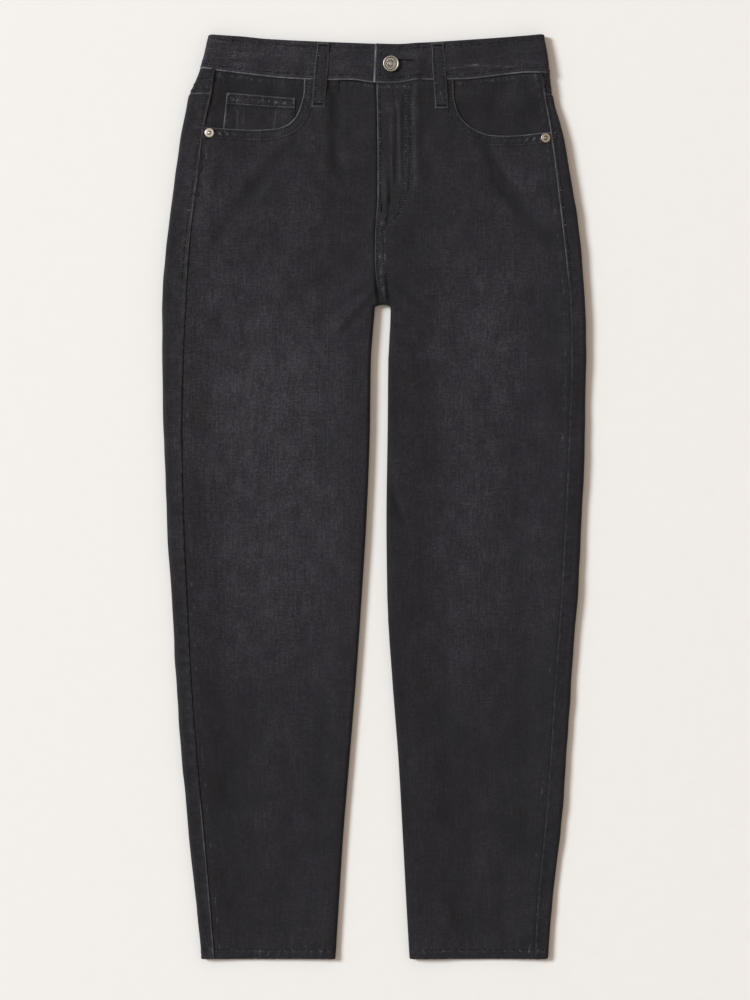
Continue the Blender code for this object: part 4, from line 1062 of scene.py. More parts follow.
# ------------------------------------------------------------------ threads
class Threads:
    """Collects stitches and joins them into one mesh per piece."""

    def __init__(self):
        self.groups = {}
        self.rng = np.random.default_rng(5)

    def row(self, group, points, normals, pitch=3.2, length=1.75, width=0.95,
            rise=0.20, shade=0.03, vary=0.06, start=0.0, knuckle=1.10):
        """Stitches along a 3-D line."""
        points = np.asarray(points, float)
        normals = np.asarray(normals, float)
        step = np.linalg.norm(np.diff(points, axis=0), axis=1)
        run = np.concatenate(([0.0], np.cumsum(step)))
        count = int((run[-1] - start) / pitch)
        if count < 1:
            return
        heights = np.array([-0.30, 0.55, 1.0, 0.55, -0.30]) * rise
        widths = np.array([0.30, 0.92, 1.0, 0.92, 0.30])
        spread = np.array([0.0, 0.16, 0.5, 0.84, 1.0])
        first = start + np.arange(count) * pitch
        first = first + self.rng.normal(0.0, 0.10, count)
        t = first[:, None] + spread[None, :] * length

        def sample(values):
            return np.stack([np.interp(t, run, values[:, k])
                             for k in range(3)], axis=2)

        centre = sample(points)
        up = sample(normals)
        up /= np.linalg.norm(up, axis=2)[..., None]
        ahead = centre[:, -1] - centre[:, 0]
        ahead /= np.maximum(np.linalg.norm(ahead, axis=1), 1e-9)[:, None]
        ahead = ahead[:, None, :] * np.ones((1, 5, 1))
        across = np.cross(up, ahead)
        slant = self.rng.normal(0.0, 0.05, count)
        centre = centre + across * (slant[:, None]
                                    * (spread[None, :] - 0.5) * 2)[..., None]
        centre = centre + up * heights[None, :, None]
        sides = 6
        angles = np.arange(sides) * 2 * pi / sides
        ring = (np.cos(angles)[None, None, :, None] * across[:, :, None, :]
                * (width / 2) * widths[None, :, None, None]
                + np.sin(angles)[None, None, :, None] * up[:, :, None, :]
                * (width * 0.36) * widths[None, :, None, None])
        verts = centre[:, :, None, :] + ring
        tips = np.stack([centre[:, 0] - up[:, 0] * 0.1,
                         centre[:, -1] - up[:, -1] * 0.1], axis=1)
        verts = np.concatenate([verts.reshape(count, 5 * sides, 3), tips],
                               axis=1)
        quads = []
        for j in range(4):
            for i in range(sides):
                n = (i + 1) % sides
                quads.append((j * sides + i, j * sides + n,
                              (j + 1) * sides + n, (j + 1) * sides + i))
        tris = []
        for i in range(sides):
            n = (i + 1) % sides
            tris.append((5 * sides, n, i))
            tris.append((5 * sides + 1, 4 * sides + i, 4 * sides + n))
        shades = np.clip(shade + vary * self.rng.normal(0.0, 1.0, count),
                         0.0, 1.0)
        cloth = np.zeros((count, 5 * sides + 2, 3))
        cloth[:, :5 * sides, 0] = np.repeat(spread * length, sides)[None]
        cloth[:, :5 * sides, 1] = np.tile(angles, 5)[None]
        parts = self.groups.setdefault(group, [])
        parts.append((verts, np.array(quads), np.array(tris),
                      np.repeat(shades, 5 * sides + 2), cloth))
        if not knuckle:
            return
        # worn cloth that stands up between one stitch and the next
        gap = pitch - length
        t = (first + length - 0.25)[:, None] + np.array(
            [0.0, 0.5, 1.0])[None, :] * (gap + 0.5)
        centre = sample(points)
        up = sample(normals)
        up /= np.linalg.norm(up, axis=2)[..., None]
        ahead = centre[:, -1:] - centre[:, :1]
        ahead /= np.maximum(np.linalg.norm(ahead, axis=2), 1e-9)[..., None]
        across = np.cross(up, ahead * np.ones((1, 3, 1)))
        centre = centre + up * np.array([-0.12, 0.10, -0.12])[None, :, None]
        sides = 6
        angles = np.arange(sides) * 2 * pi / sides
        fat = np.array([0.45, 1.0, 0.45])[None, :, None, None]
        ring = (np.cos(angles)[None, None, :, None] * across[:, :, None, :]
                * (0.5 * knuckle) * fat
                + np.sin(angles)[None, None, :, None] * up[:, :, None, :]
                * 0.20 * fat)
        verts = (centre[:, :, None, :] + ring).reshape(count, 3 * sides, 3)
        quads = []
        for j in range(2):
            for i in range(sides):
                n = (i + 1) % sides
                quads.append((j * sides + i, j * sides + n,
                              (j + 1) * sides + n, (j + 1) * sides + i))
        tris = []
        for base in (0, 2 * sides):
            for i in range(1, sides - 1):
                tri = (base, base + i + 1, base + i)
                tris.append(tri if base == 0 else tri[::-1])
        light = np.clip(0.56 + 0.12 * self.rng.normal(0.0, 1.0, count),
                        0.34, 0.9)
        cloth = np.zeros((count, 3 * sides, 3))
        parts.append((verts, np.array(quads), np.array(tris),
                      np.repeat(light, 3 * sides), cloth))

    def tack(self, group, p0, p1, normal, width=1.7, shade=0.26):
        """Bar tack: close stitches laid across a short line."""
        p0, p1 = np.asarray(p0, float), np.asarray(p1, float)
        normal = np.asarray(normal, float)
        ahead = p1 - p0
        length = np.linalg.norm(ahead)
        ahead /= length
        across = np.cross(normal, ahead)
        for k in range(int(length / 0.62)):
            c = p0 + ahead * (k * 0.62)
            lean = ahead * (0.25 if k % 2 else -0.25)
            line = np.array([c - across * width / 2 - lean,
                             c + across * width / 2 + lean])
            self.row(group, line, np.array([normal, normal]),
                     pitch=width, length=width, width=0.62, rise=0.42,
                     shade=shade, vary=0.12, knuckle=0.0)

    def build(self):
        made = []
        for name, parts in self.groups.items():
            verts, quads, tris, shades, cloth = [], [], [], [], []
            base = 0
            for v, q, t, s, c in parts:
                count, size = v.shape[:2]
                offs = base + np.arange(count) * size
                verts.append(v.reshape(-1, 3))
                quads.append((q[None] + offs[:, None, None]).reshape(-1, 4))
                tris.append((t[None] + offs[:, None, None]).reshape(-1, 3))
                shades.append(s)
                cloth.append(c.reshape(-1, 3))
                base += count * size
            verts = np.concatenate(verts)
            verts[:, 2] = np.maximum(verts[:, 2], 0.02)
            ob = new_object(name, verts,
                            [np.concatenate(quads), np.concatenate(tris)],
                            THREAD, {"shade": np.concatenate(shades),
                                     "cloth": np.concatenate(cloth)})
            made.append(ob)
        return made


threads = Threads()


def row_on(group, line, height, **how):
    """Stitches along a line in plan, on the surface whose height is given."""
    line = np.asarray(line, float)
    x, y = line[:, 0], line[:, 1]
    z = height(x, y)
    e = 0.6
    gx = (height(x + e, y) - height(x - e, y)) / (2 * e)
    gy = (height(x, y + e) - height(x, y - e)) / (2 * e)
    n = np.stack([-gx, -gy, np.ones_like(gx)], axis=1)
    n /= np.linalg.norm(n, axis=1)[:, None]
    threads.row(group, np.stack([x, y, z], axis=1), n, **how)


def tack_on(group, a, b, height, **how):
    za = float(height(np.array([a[0]]), np.array([a[1]]))[0])
    zb = float(height(np.array([b[0]]), np.array([b[1]]))[0])
    threads.tack(group, (*a, za), (*b, zb), (0.0, 0.0, 1.0), **how)


# ------------------------------------------------------------ front panels
pieces = []


def spaced(*spans):
    """Values from spans of (start, end, step), ends joined."""
    out = []
    for a, b, step in spans:
        n = max(int(round((b - a) / step)), 1)
        out.append(np.linspace(a, b, n + 1)[:-1])
    out.append([spans[-1][1]])
    return np.concatenate(out)


FRONT_ROWS = spaced((HEM_END + 1.2, HEM_END + 22.0, 1.0),
                    (HEM_END + 22.0, 180.0, 2.3), (180.0, 200.0, 1.4))
fork_down = Y_MID - 10.0 * (1 - np.cos(np.linspace(pi / 2, 0.0, 17)))
fork_up = Y_MID + FOLD_REACH * 1.4 * (1 - np.cos(np.linspace(0.0, pi / 2, 8)))
FRONT_ROWS = np.unique(np.concatenate([
    FRONT_ROWS[FRONT_ROWS < Y_MID - 10.0], fork_down, fork_up,
    spaced((fork_up[-1], 250.0, 1.4), (250.0, 380.0, 1.8),
           (380.0, 462.0, 1.3))]))


def front_columns(y, width):
    """Distances from the centre or inner edge, one row of a panel."""
    t = ramp(y, Y_FORK + 4.0, 250.0)
    fold = FOLD_REACH * (1 - np.cos(np.linspace(0.0, pi / 2, 9)))
    hip = np.linspace(0.0, 6.4, 9)
    near = mix(fold, hip, t)
    near = np.concatenate([near, near[-1] + np.arange(1, 37) * 1.0])
    far = width - np.linspace(11.0, 0.0, 12)
    mid = np.linspace(near[-1], far[0], 58)[1:-1]
    return np.concatenate([near, mid, far])


def panel_wear(side, x, y):
    """Worn places of a front panel."""
    d_seam = seam_distance(side, x, y)
    w = 0.22 * bell(d_seam - 7.0, 1.6) * (0.5 + 0.5 * patchy(x, y * 0.6))
    w += 0.30 * bell(lower_y(x) - y - 5.0, 2.4) * (0.45 + 0.4 * patchy(x, y))
    up = y - HEM_END
    w += 0.26 * bell(up - HEM_HEIGHT + 3.6, 1.5) * (0.55 + 0.45 * patchy(x, y))
    w += 0.16 * bell(up - 1.2, 1.6) * (0.5 + 0.4 * patchy(x * 0.6, y))
    w += 0.12 * bell(up - 6.0, 3.4) * np.clip(patchy(x * 0.9, y * 0.4), 0, 2)
    if side == "left":
        d_edge = x - centre_x(y)
        above = ramp(y, Y_FORK + 6.0, Y_FORK + 18.0)
        w += 0.12 * above * bell(d_edge - 1.1, 1.4) * (0.75 + 0.3 * patchy(x, y))
        fell = above * (1.0 - ramp(y, 300.0, 326.0))
        w += 0.30 * fell * bell(d_edge - 9.6, 1.4) * (0.6 + 0.5 * patchy(x, y))
        w += 0.26 * fell * bell(d_edge - 5.0, 1.6) * (0.5 + 0.6 * patchy(x, y))
        for line in FLY_ROWS:
            d = to_line(x, y, line[::3])[0]
            w += 0.13 * bell(d - 1.6, 1.1) * (0.5 + 0.5 * patchy(x, y))
    return np.clip(w, 0.0, 1.0)


def front_panel(side):
    s = SIGN[side]
    ys = FRONT_ROWS
    x0 = np.where(ys < Y_MID, inner_x(side, ys), 0.0)
    edge = centre_x(ys)
    if side == "right":
        under = 2.6 * ramp(ys, Y_FORK + 2.0, Y_FORK + 16.0)
        edge = edge + under + (FLY_UNDER - 2.6) * ramp(ys, 301.0, FLY_FOOT)
    x0 = np.where(ys < Y_MID, x0, edge)
    x1 = seam_x[side](ys) + s * 2.6
    cols = np.array([front_columns(y, abs(b - a))
                     for y, a, b in zip(ys, x0, x1)])
    X = x0[:, None] + s * cols
    Y = np.repeat(ys[:, None], X.shape[1], axis=1)
    # upper rows follow the band seam and pass a little way under the band
    top, start = ys[-1], 430.0
    t = np.clip((Y - start) / (top - start), 0.0, 1.0)
    Y = np.where(t > 0.0, start + t * (lower_y(X) + 2.2 - start), Y)
    Z = front_core(side, X, Y)
    mid = np.stack([X, Y, Z], axis=2)
    n = normals_of(mid, up=np.array([0.0, 0.0, 1.0]))
    # along the inner fold the wall turns to horizontal
    d = to_fork(side, X, Y)
    P = mid + n * (WALL / 2 + relief(side, X, Y) * ramp(d, 0.0, 3.0)
                   )[..., None]
    uv = np.stack([X, Y], axis=2)
    shade = tone_and_painted_light(X, Y)
    # painted shade where the panel is shut in: beside the strip, along the fork, under the band
    # and along the fly edge
    shade *= 1.0 - 0.28 * bell(seam_distance(side, X, Y) - 0.4, 1.3)
    shade *= 1.0 - 0.34 * bell(to_fork(side, X, Y), 2.2) * (Y < Y_MID + 4.0)
    shade *= 1.0 - 0.32 * bell(lower_y(X) - Y - 1.6, 1.3)
    if side == "right":
        shade *= 1.0 - (0.72 * bell(centre_x(Y) - X - 1.2, 1.5)
                        * ramp(Y, 222.0, 232.0))
        edge = np.full(X.shape, 99.0)
    else:
        edge = np.where(Y > Y_MID + 5.0, X - centre_x(Y) + 0.48, 99.0)
    worn = (0.22 + 0.34 * ramp(Y, 306.0, 326.0)) * ramp(Y, Y_MID + 8.0,
                                                        Y_MID + 34.0)
    extra = nearest_edge((edge, worn), ((Y - HEM_END) * 1.5 + 0.45, 0.20))
    extra.update({"wear": panel_wear(side, X, Y), "tone_and_painted_light": shade})
    n = normals_of(P, up=np.array([0.0, 0.0, 1.0]))
    keep = np.ones(X.shape, bool)
    line = MOUTH_LINE[side]
    poly = [(line[0][0], 520.0)] + [tuple(p) for p in line]
    poly += [(s * 240.0, line[-1][1]), (s * 240.0, 520.0)]
    hole = inside_polygon(X, Y, poly)
    dist = to_line(X, Y, line[::2])[0]
    keep &= ~(hole | (dist < 2.2))
    rows0 = P.shape[0]
    P, n, uv, extra = roll_edge(P, n, uv, extra, "first_row", 2.2, 12.0)
    keep = np.concatenate([np.ones((P.shape[0] - rows0, X.shape[1]), bool),
                           keep])
    if side == "left":
        cols0 = P.shape[1]
        P, n, uv, extra = roll_edge(P, n, uv, extra, "first_col", 1.3, 2.5)
        keep = np.concatenate([np.ones((P.shape[0], P.shape[1] - cols0),
                                       bool), keep], axis=1)
        # the rolled edge exists above the fork only
        ys_all = P[:, P.shape[1] - cols0, 1]
        keep[:, :P.shape[1] - cols0] &= (ys_all > Y_MID + 3.0)[:, None]
    return shell("denim_front_" + side, P, n, uv, extra, DENIM, keep)


def mouth_ribs(run, w):
    """Slanting ribs of a hem between its two rows of stitches."""
    drift = 1.6 * slow_b(run * 0.9, 20.0 + 0.0 * w)
    share = 0.55 + 0.45 * slow_b(run * 1.3, 70.0 + 0.0 * w)
    return share * np.sin((run + 0.55 * w) * 2 * pi / 7.6 + drift)


def mouth_hem(side):
    """Turned hem along a pocket mouth, worn at its fold and at its ridge."""
    line = MOUTH_LINE[side]
    inward = INTO_PANEL[side]
    # carry the ends under the band and under the side strip
    across = np.concatenate([np.linspace(0.5, 9.0, 12),
                             np.linspace(9.6, 12.6, 7)])
    rows = []
    for w in across:
        rows.append(beside(line, inward * w))
    xy = np.array(rows)
    X, Y = xy[..., 0], xy[..., 1]
    run = np.arange(line.shape[0])[None, :] * np.ones((len(across), 1))
    W = across[:, None] * np.ones(X.shape)
    base = front_top(side, X, Y)
    lift = 0.55 * (1.0 - ramp(W, 10.2, 12.4)) + 0.02
    lift += 0.18 * bell(W - 1.4, 1.3)
    lift += 0.22 * bell(W - 10.1, 0.9)
    lift += stitch_dip(W - 2.6) * 0.8 + stitch_dip(W - 9.0) * 0.8
    lift += 0.26 * mouth_ribs(run, W) * bell(W - 5.6, 3.0)
    lift += 0.06 * tiny(run, W)
    # its end goes down flat under the band
    lift -= 1.5 * ramp(Y - lower_y(X), 0.6, 2.2)
    Z = base + lift
    P = np.stack([X, Y, Z], axis=2)
    n = normals_of(P, up=np.array([0.0, 0.0, 1.0]))
    uv = np.stack([X, Y], axis=2)
    rough = patchy(X, Y)
    ribs = mouth_ribs(run, W)
    wear = (0.14 * bell(W - 0.6, 1.2) * (0.8 + 0.25 * rough)
            + 0.12 * bell(W - 10.4, 1.0) * (0.6 + 0.4 * rough)
            + 0.34 * bell(W - 5.6, 2.2) * np.clip(ribs, 0.0, 2.0))
    # painted shade along the hem's inner step and in the troughs between its ribs
    shade = tone_and_painted_light(X, Y) * (1.0 - 0.34 * bell(W - 12.0, 0.9))
    shade *= 1.0 - 0.30 * bell(W - 5.6, 3.0) * np.clip(-ribs, 0.0, 1.4)
    extra = nearest_edge((W + 0.02, 0.46),
                         (np.abs(W - 10.3) * 1.2 + 0.50, 0.27))
    extra.update({"wear": np.clip(wear, 0.0, 1.0), "tone_and_painted_light": shade})
    P, n, uv, extra = roll_edge(P, n, uv, extra, "first_row", 1.5, 4.0)
    ob = shell("mouth_hem_" + side, P, n, uv, extra, DENIM)

    def height(x, y):
        d = to_line(x, y, line[::2])[0]
        return (front_top(side, x, y) + 0.55 + stitch_dip(d - 2.6) * 0.8
                + stitch_dip(d - 9.0) * 0.8)
    for off in (2.6, 9.0):
        path = beside(line, inward * off)[6:-8]
        row_on("stitches_front_" + side, path, height, rise=0.22)
    return ob


def pocket_sheet(side):
    """The facing that shows in a pocket mouth, and the bag side below it."""
    s = SIGN[side]
    ys = spaced((301.0, 384.0, 4.0), (384.0, 466.0, 1.5))
    x0 = centre_x(ys) + s * 42.0
    x1 = seam_x[side](ys) + s * 2.4
    t = np.concatenate([np.linspace(0.0, 0.12, 6)[:-1],
                        np.linspace(0.12, 1.0, 96)])
    X = x0[:, None] + (x1 - x0)[:, None] * t[None]
    Y = np.repeat(ys[:, None], X.shape[1], axis=1)
    top = ys[-1]
    k = np.clip((Y - 430.0) / (top - 430.0), 0.0, 1.0)
    Y = np.where(k > 0.0, 430.0 + k * (lower_y(X) + 2.0 - 430.0), Y)
    Z = pocket_top(side, X, Y)
    P = np.stack([X, Y, Z], axis=2)
    n = normals_of(P, up=np.array([0.0, 0.0, 1.0]))
    uv = np.stack([X + 400.0, Y * 1.0], axis=2)
    d_seam = seam_distance(side, X, Y)
    wear = (0.30 * bell(lower_y(X) - Y - 5.0, 2.4)
            + 0.25 * bell(d_seam - 6.0, 2.0)) * (0.5 + 0.5 * patchy(X, Y))
    d = to_line(X, Y, MOUTH_LINE[side][::2])[0]
    # darker near the mouth line: painted shade under the hem's edge
    shade = 0.97 + 0.07 * slow_b(X, Y) - 0.10 * bell(d, 3.0)
    shade += 0.07 * ruffle(X * 1.2, Y * 1.2)
    shade = shade * 0.86
    extra = {"wear": np.clip(wear, 0.0, 1.0), "tone_and_painted_light": shade}
    return shell("pocket_facing_" + side, P, n, uv, extra, DENIM_FACING)


def pocket_top(side, x, y):
    z = base_z(side, x, y) + POCKET_WALL / 2
    d_band = lower_y(x) - y
    z = z - 0.5 * bell(np.maximum(d_band, 0.0), 3.0)
    d_seam = seam_distance(side, x, y)
    z = z + 0.30 * drape(x + 90.0, y) + 0.16 * ruffle(x, y + 30.0)
    z = z + 0.14 * pucker(x * 1.1, y * 0.4) * bell(d_band - 4.0, 7.0)
    z = z + 0.18 * pucker(x * 0.3, y) * bell(d_seam - 3.0, 6.0)
    z = z + 0.22 * bell(d_seam - 2.0, 7.0)
    return z


# -------------------------------------------------------------- back panels
def strip_lift(side, y):
    """The side strip laps over the front: how much higher its edge lies."""
    high = mix(0.75, 1.25, ramp(y, 366.0, 390.0))
    return mix(high, 0.95, ramp(y, 410.0, 420.0))


BACK_NEAR = FOLD_REACH * (1 - np.cos(np.linspace(0.0, pi / 2, 8)))


def back_sheet(side, centre, edge, band_edge=False):
    """Grid of the back from the centre or inner fold, along the bottom,
    round the outer fold and on to the side seam.

    centre and edge give each row's height along the leg at its two ends.
    """
    s = SIGN[side]
    flat = np.linspace(0.0, 1.0, 47)[1:]
    turn = np.linspace(0.0, pi, 19)[1:]
    strip = np.linspace(0.0, 1.0, 24)[1:]
    rows = []
    for yc, ye in zip(centre, edge):
        t = float(ramp(yc, Y_FORK + 4.0, 262.0))
        off = mix(BACK_NEAR, np.linspace(0.0, 14.0, 8), t)
        u = off / 190.0
        y_near = mix(yc, ye, u)
        e = np.where(y_near < Y_MID, inner_x(side, y_near),
                     mix(X_FORK, BACK_CENTRE_TOP, (y_near - Y_FORK)
                         / (BAND_BACK_CENTRE - Y_FORK)) + s * 0.05)
        x_near = e + s * off
        x_end = float(outer_x[side](ye)) - s * (WALL / 2 + FOLD_REACH)
        x_flat = mix(x_near[-1], x_end, flat)
        u_flat = mix(u[-1], 1.0, flat)
        y_flat = mix(yc, ye, u_flat)
        xs = np.concatenate([x_near, x_flat])
        yy = np.concatenate([y_near, y_flat])
        zs = back_z(side, xs, yy)
        # outer fold, a half ellipse
        xo = float(outer_x[side](ye)) - s * WALL / 2
        low = float(bottom_z(ye))
        high = float(base_z(side, np.array([xo - s * FOLD_REACH]),
                            np.array([ye]))[0])
        r = (high - low) / 2.0
        fx = xo - s * FOLD_REACH * (1.0 - np.sin(turn))
        fz = low + r - r * np.cos(turn)
        x_seam = float(seam_x[side](ye)) - s * 0.2
        sx = mix(fx[-1], x_seam, strip)
        sy = np.full(sx.shape, ye)
        if band_edge:
            share = (ye - edge[0]) / max(edge[-1] - edge[0], 1e-6)
            sy = mix(np.full(sx.shape, ye), lower_y(sx) + 2.0, share)
        sz = base_z(side, sx, sy)
        sz = sz + strip_lift(side, sy) * ramp(strip, 0.15, 0.95)
        rows.append(np.stack([
            np.concatenate([xs, fx, sx]),
            np.concatenate([yy, np.full(fx.shape, ye), sy]),
            np.concatenate([zs, fz, sz])], axis=1))
    mid = np.array(rows)
    n = normals_of(mid)
    probe = n[len(rows) // 2, 30, 2]
    n = n if probe < 0.0 else -n
    return mid, n


def back_relief(side, mid, n):
    """Relief along the normal: small and inward on the underside, full on
    the fold and the strip."""
    x, y, z = mid[..., 0], mid[..., 1], mid[..., 2]
    s = SIGN[side]
    up = np.clip(n[..., 2], -1.0, 1.0)
    upper = ramp(up, -0.55, 0.25)
    d_seam = -seam_distance(side, x, y)      # into the strip
    r = (0.45 * drape(x, y) + 0.14 * ruffle(x, y)) * upper
    r += 0.30 * pucker(x * 0.25 + s * 31.0, y) * bell(d_seam - 4.0, 7.0) * upper
    r += 0.28 * bell(d_seam - 1.3, 1.7) * (up > 0.5)
    # the fold stands out a little where the yoke lets it go
    sideways = np.clip(1.0 - np.abs(up) * 1.4, 0.0, 1.0)
    r += 1.2 * sideways * (y < YOKE_SIDE[side]) * ramp(
        y, YOKE_SIDE[side] - 20.0, YOKE_SIDE[side] - 1.0)
    r += stitch_dip(d_seam - 3.4) * 0.35 * (up > 0.5)
    # leg hem
    h = y - HEM_END
    hem = 1.0 - ramp(h, HEM_HEIGHT - 1.2, HEM_HEIGHT + 1.6)
    r += 0.40 * hem * upper
    r += stitch_dip(h - HEM_HEIGHT + 2.2) * upper
    rope = np.sin((x + 0.75 * h) * 2 * pi / 8.4 + 1.4 * slow_b(x, y))
    r += 0.25 * rope * bell(h - 5.2, 4.0) * upper
    # underside: shallow quilting above the ground
    under = 1.0 - upper
    r -= under * (0.16 + 0.12 * (1.0 + 0.5 * drape(x, y)).clip(0.0, 2.0)
                  + 0.04 * (1.0 + ruffle(x, y)).clip(0.0, 2.0))
    r += under * stitch_dip(h - HEM_HEIGHT + 2.2) * 0.5
    return r


def back_wear(side, x, y, up):
    d_seam = -seam_distance(side, x, y)
    strip = up > 0.4
    w = 0.16 * bell(d_seam - 1.0, 1.3) * strip * (0.55 + 0.45 * patchy(x, y * 0.5))
    h = y - HEM_END
    w += 0.26 * bell(h - HEM_HEIGHT + 3.6, 1.5) * (0.5 + 0.45 * patchy(x, y))
    w += 0.16 * bell(h - 1.2, 1.6) * (0.5 + 0.4 * patchy(x, y))
    edge = bell(up - 0.25, 0.28)
    w += 0.05 * edge * (0.5 + 0.5 * patchy(x, y * 0.4))
    return np.clip(w, 0.0, 1.0)


def strip_edges(side, P, n):
    """Ways from the strip's folded edge and from the leg's end."""
    d = -seam_distance(side, P[..., 0], P[..., 1])
    edge = np.where(n[..., 2] > 0.3, np.abs(d + 0.25), 99.0)
    dashes = 0.10 * np.clip(patchy(P[..., 0] * 0.1, P[..., 1] * 1.6), 0.0, 1.0)
    worn = dashes + 0.25 * ramp(P[..., 1], 225.0, 262.0)
    if side == "right":
        edge = np.where(n[..., 2] > 0.3, np.maximum(d - 0.1, 0.0), 99.0)
        worn = dashes + 0.21 * ramp(P[..., 1], 190.0, 290.0)
        worn += 0.34 * ramp(-P[..., 1], 318.0, 350.0)
    return (edge, worn), ((P[..., 1] - HEM_END) * 1.5 + 0.45, 0.20)


def strip_shade(side, P):
    """Painted highlight on the strip's pucker crests, painted shade in their troughs."""
    d = -seam_distance(side, P[..., 0], P[..., 1])
    crest = pucker(P[..., 0] * 0.25 + SIGN[side] * 31.0, P[..., 1])
    return 1.0 + 0.10 * np.clip(crest, -1.5, 1.5) * bell(d - 5.0, 7.0)


def fold_shade(n):
    """Painted shade on the outer fold, darker where it turns sideways."""
    return 1.0 - 0.55 * np.clip(1.0 - np.abs(n[..., 2]) * 1.25, 0.0, 1.0)


def back_panel(side):
    ys = spaced((HEM_END + 1.2, HEM_END + 22.0, 1.3), (HEM_END + 22.0, 188.0, 3.0))
    ys = np.unique(np.concatenate([
        ys[ys < Y_MID - 10.0], fork_down, fork_up,
        spaced((fork_up[-1], 372.0, 2.6))]))
    centre = np.concatenate([ys, mix(372.0, YOKE_CENTRE + 1.0,
                                     np.linspace(0, 1, 20)[1:])])
    edge = np.concatenate([ys, mix(372.0, YOKE_SIDE[side] + 1.0,
                                   np.linspace(0, 1, 20)[1:])])
    mid, n = back_sheet(side, centre, edge)
    d = to_fork(side, mid[..., 0], mid[..., 1])
    bottom = n[..., 2] < 0.3
    soft = np.where(bottom, ramp(d, 0.0, 4.0), 1.0)
    r = back_relief(side, mid, n) * soft
    P = mid + n * (WALL / 2 + r)[..., None]
    P[..., 2] = np.maximum(P[..., 2], 0.04)
    arc = np.cumsum(np.concatenate([
        np.zeros((P.shape[0], 1)),
        np.linalg.norm(np.diff(mid, axis=1), axis=2)], axis=1), axis=1)
    uv = np.stack([arc + 700.0, P[..., 1]], axis=2)
    up = n[..., 2]
    extra = {"wear": back_wear(side, P[..., 0], P[..., 1], up),
             "tone_and_painted_light": (tone_and_painted_light(P[..., 0], P[..., 1]) * fold_shade(n)
                      * strip_shade(side, P))}
    extra.update(nearest_edge(*strip_edges(side, P, n)))
    n2 = normals_of(P, up=n)
    group = "stitches_back_" + side
    j = int(np.argmin(np.abs(P[:, -1, 1] - (HEM_END + HEM_HEIGHT - 2.2))))
    threads.row(group, P[j, 2:-4], n2[j, 2:-4], rise=0.2)
    first = int(np.argmin(np.abs(P[:, -1, 1] - 236.0)))
    threads.row(group, P[first:, -6], n2[first:, -6], rise=0.2)
    if side == "left":
        first = int(np.argmin(np.abs(P[:, 0, 1] - 222.0)))
        for k in (2, 5):
            threads.row(group, P[first:-1, k], n2[first:-1, k], rise=0.1)
    P, n2, uv, extra = roll_edge(P, n2, uv, extra, "first_row", 2.2, 12.0)
    P, n2, uv, extra = roll_edge(P, n2, uv, extra, "last_col", 1.2, 1.5)
    P[..., 2] = np.maximum(P[..., 2], 0.04)
    return shell("denim_back_" + side, P, n2, uv, extra, DENIM)


def yoke(side):
    share = np.linspace(0.0, 1.0, 30)
    band_side = float(lower_y(OUTLINE[side][-2][1]))
    centre = mix(YOKE_CENTRE, BAND_BACK_CENTRE + 1.5, share)
    edge = mix(YOKE_SIDE[side], band_side + 1.5, share)
    mid, n = back_sheet(side, centre, edge, band_edge=True)
    upper = ramp(n[..., 2], -0.55, 0.25)
    run = share[:, None] * 30.0
    r = back_relief(side, mid, n)
    # lapped over the back panel, sewn down in two rows
    r += (0.40 * (1.0 - ramp(run, 9.0, 14.0)) * upper)
    r += 0.14 * pucker(mid[..., 0], run) * bell(run - 4.0, 6.0) * upper
    P = mid + n * (WALL / 2 + r)[..., None]
    P[..., 2] = np.maximum(P[..., 2], 0.04)
    arc = np.cumsum(np.concatenate([
        np.zeros((P.shape[0], 1)),
        np.linalg.norm(np.diff(mid, axis=1), axis=2)], axis=1), axis=1)
    uv = np.stack([arc + 1500.0, P[..., 1]], axis=2)
    wear = back_wear(side, P[..., 0], P[..., 1], n[..., 2])
    wear += 0.16 * bell(run - 0.6, 1.3) * (0.6 + 0.4 * patchy(P[..., 0], run))
    extra = {"wear": np.clip(wear, 0.0, 1.0),
             "tone_and_painted_light": (tone_and_painted_light(P[..., 0], P[..., 1]) * fold_shade(n)
                      * strip_shade(side, P))}
    extra.update(nearest_edge((run * 1.1 + 0.3, 0.26),
                              *strip_edges(side, P, n)))
    n2 = normals_of(P, up=n)
    group = "stitches_back_" + side
    for k in (2.6, 10.5):
        j = int(np.argmin(np.abs(share * 30.0 - k)))
        threads.row(group, P[j, 1:-3], n2[j, 1:-3], rise=0.2)
    threads.row(group, P[2:-2, -6], n2[2:-2, -6], rise=0.2)
    P, n2, uv, extra = roll_edge(P, n2, uv, extra, "first_row", 1.3, 2.0)
    P, n2, uv, extra = roll_edge(P, n2, uv, extra, "last_col", 1.2, 1.5)
    P[..., 2] = np.maximum(P[..., 2], 0.04)
    return shell("denim_yoke_" + side, P, n2, uv, extra, DENIM)


# --------------------------------------------------------------- waistband
def band_lap(x):
    return (BAND_WALL + GAP) * (1.0 - ramp(x, 41.0, 61.0))


SIDE_LOWER = {s: OUTLINE[s][-2][0] for s in SIGN}
SIDE_UPPER = {s: OUTLINE[s][-1][0] for s in SIGN}


def band_x(x_low, v):
    low = [OUTLINE[s][-2][1] for s in ("right", "left")]
    top = [OUTLINE[s][-1][1] for s in ("right", "left")]
    u = (x_low - low[0]) / (low[1] - low[0])
    return mix(x_low, mix(top[0], top[1], u), v)


def band_front(x_low, v, over):
    x = band_x(x_low, v)
    y = mix(lower_y(x_low), upper_y(x), v)
    z = np.where(x < X_FORK, base_z("right", x, y), base_z("left", x, y))
    z = z + BAND_RISE + (band_lap(x) if over else 0.0)
    return np.stack([x, y, z], axis=-1)


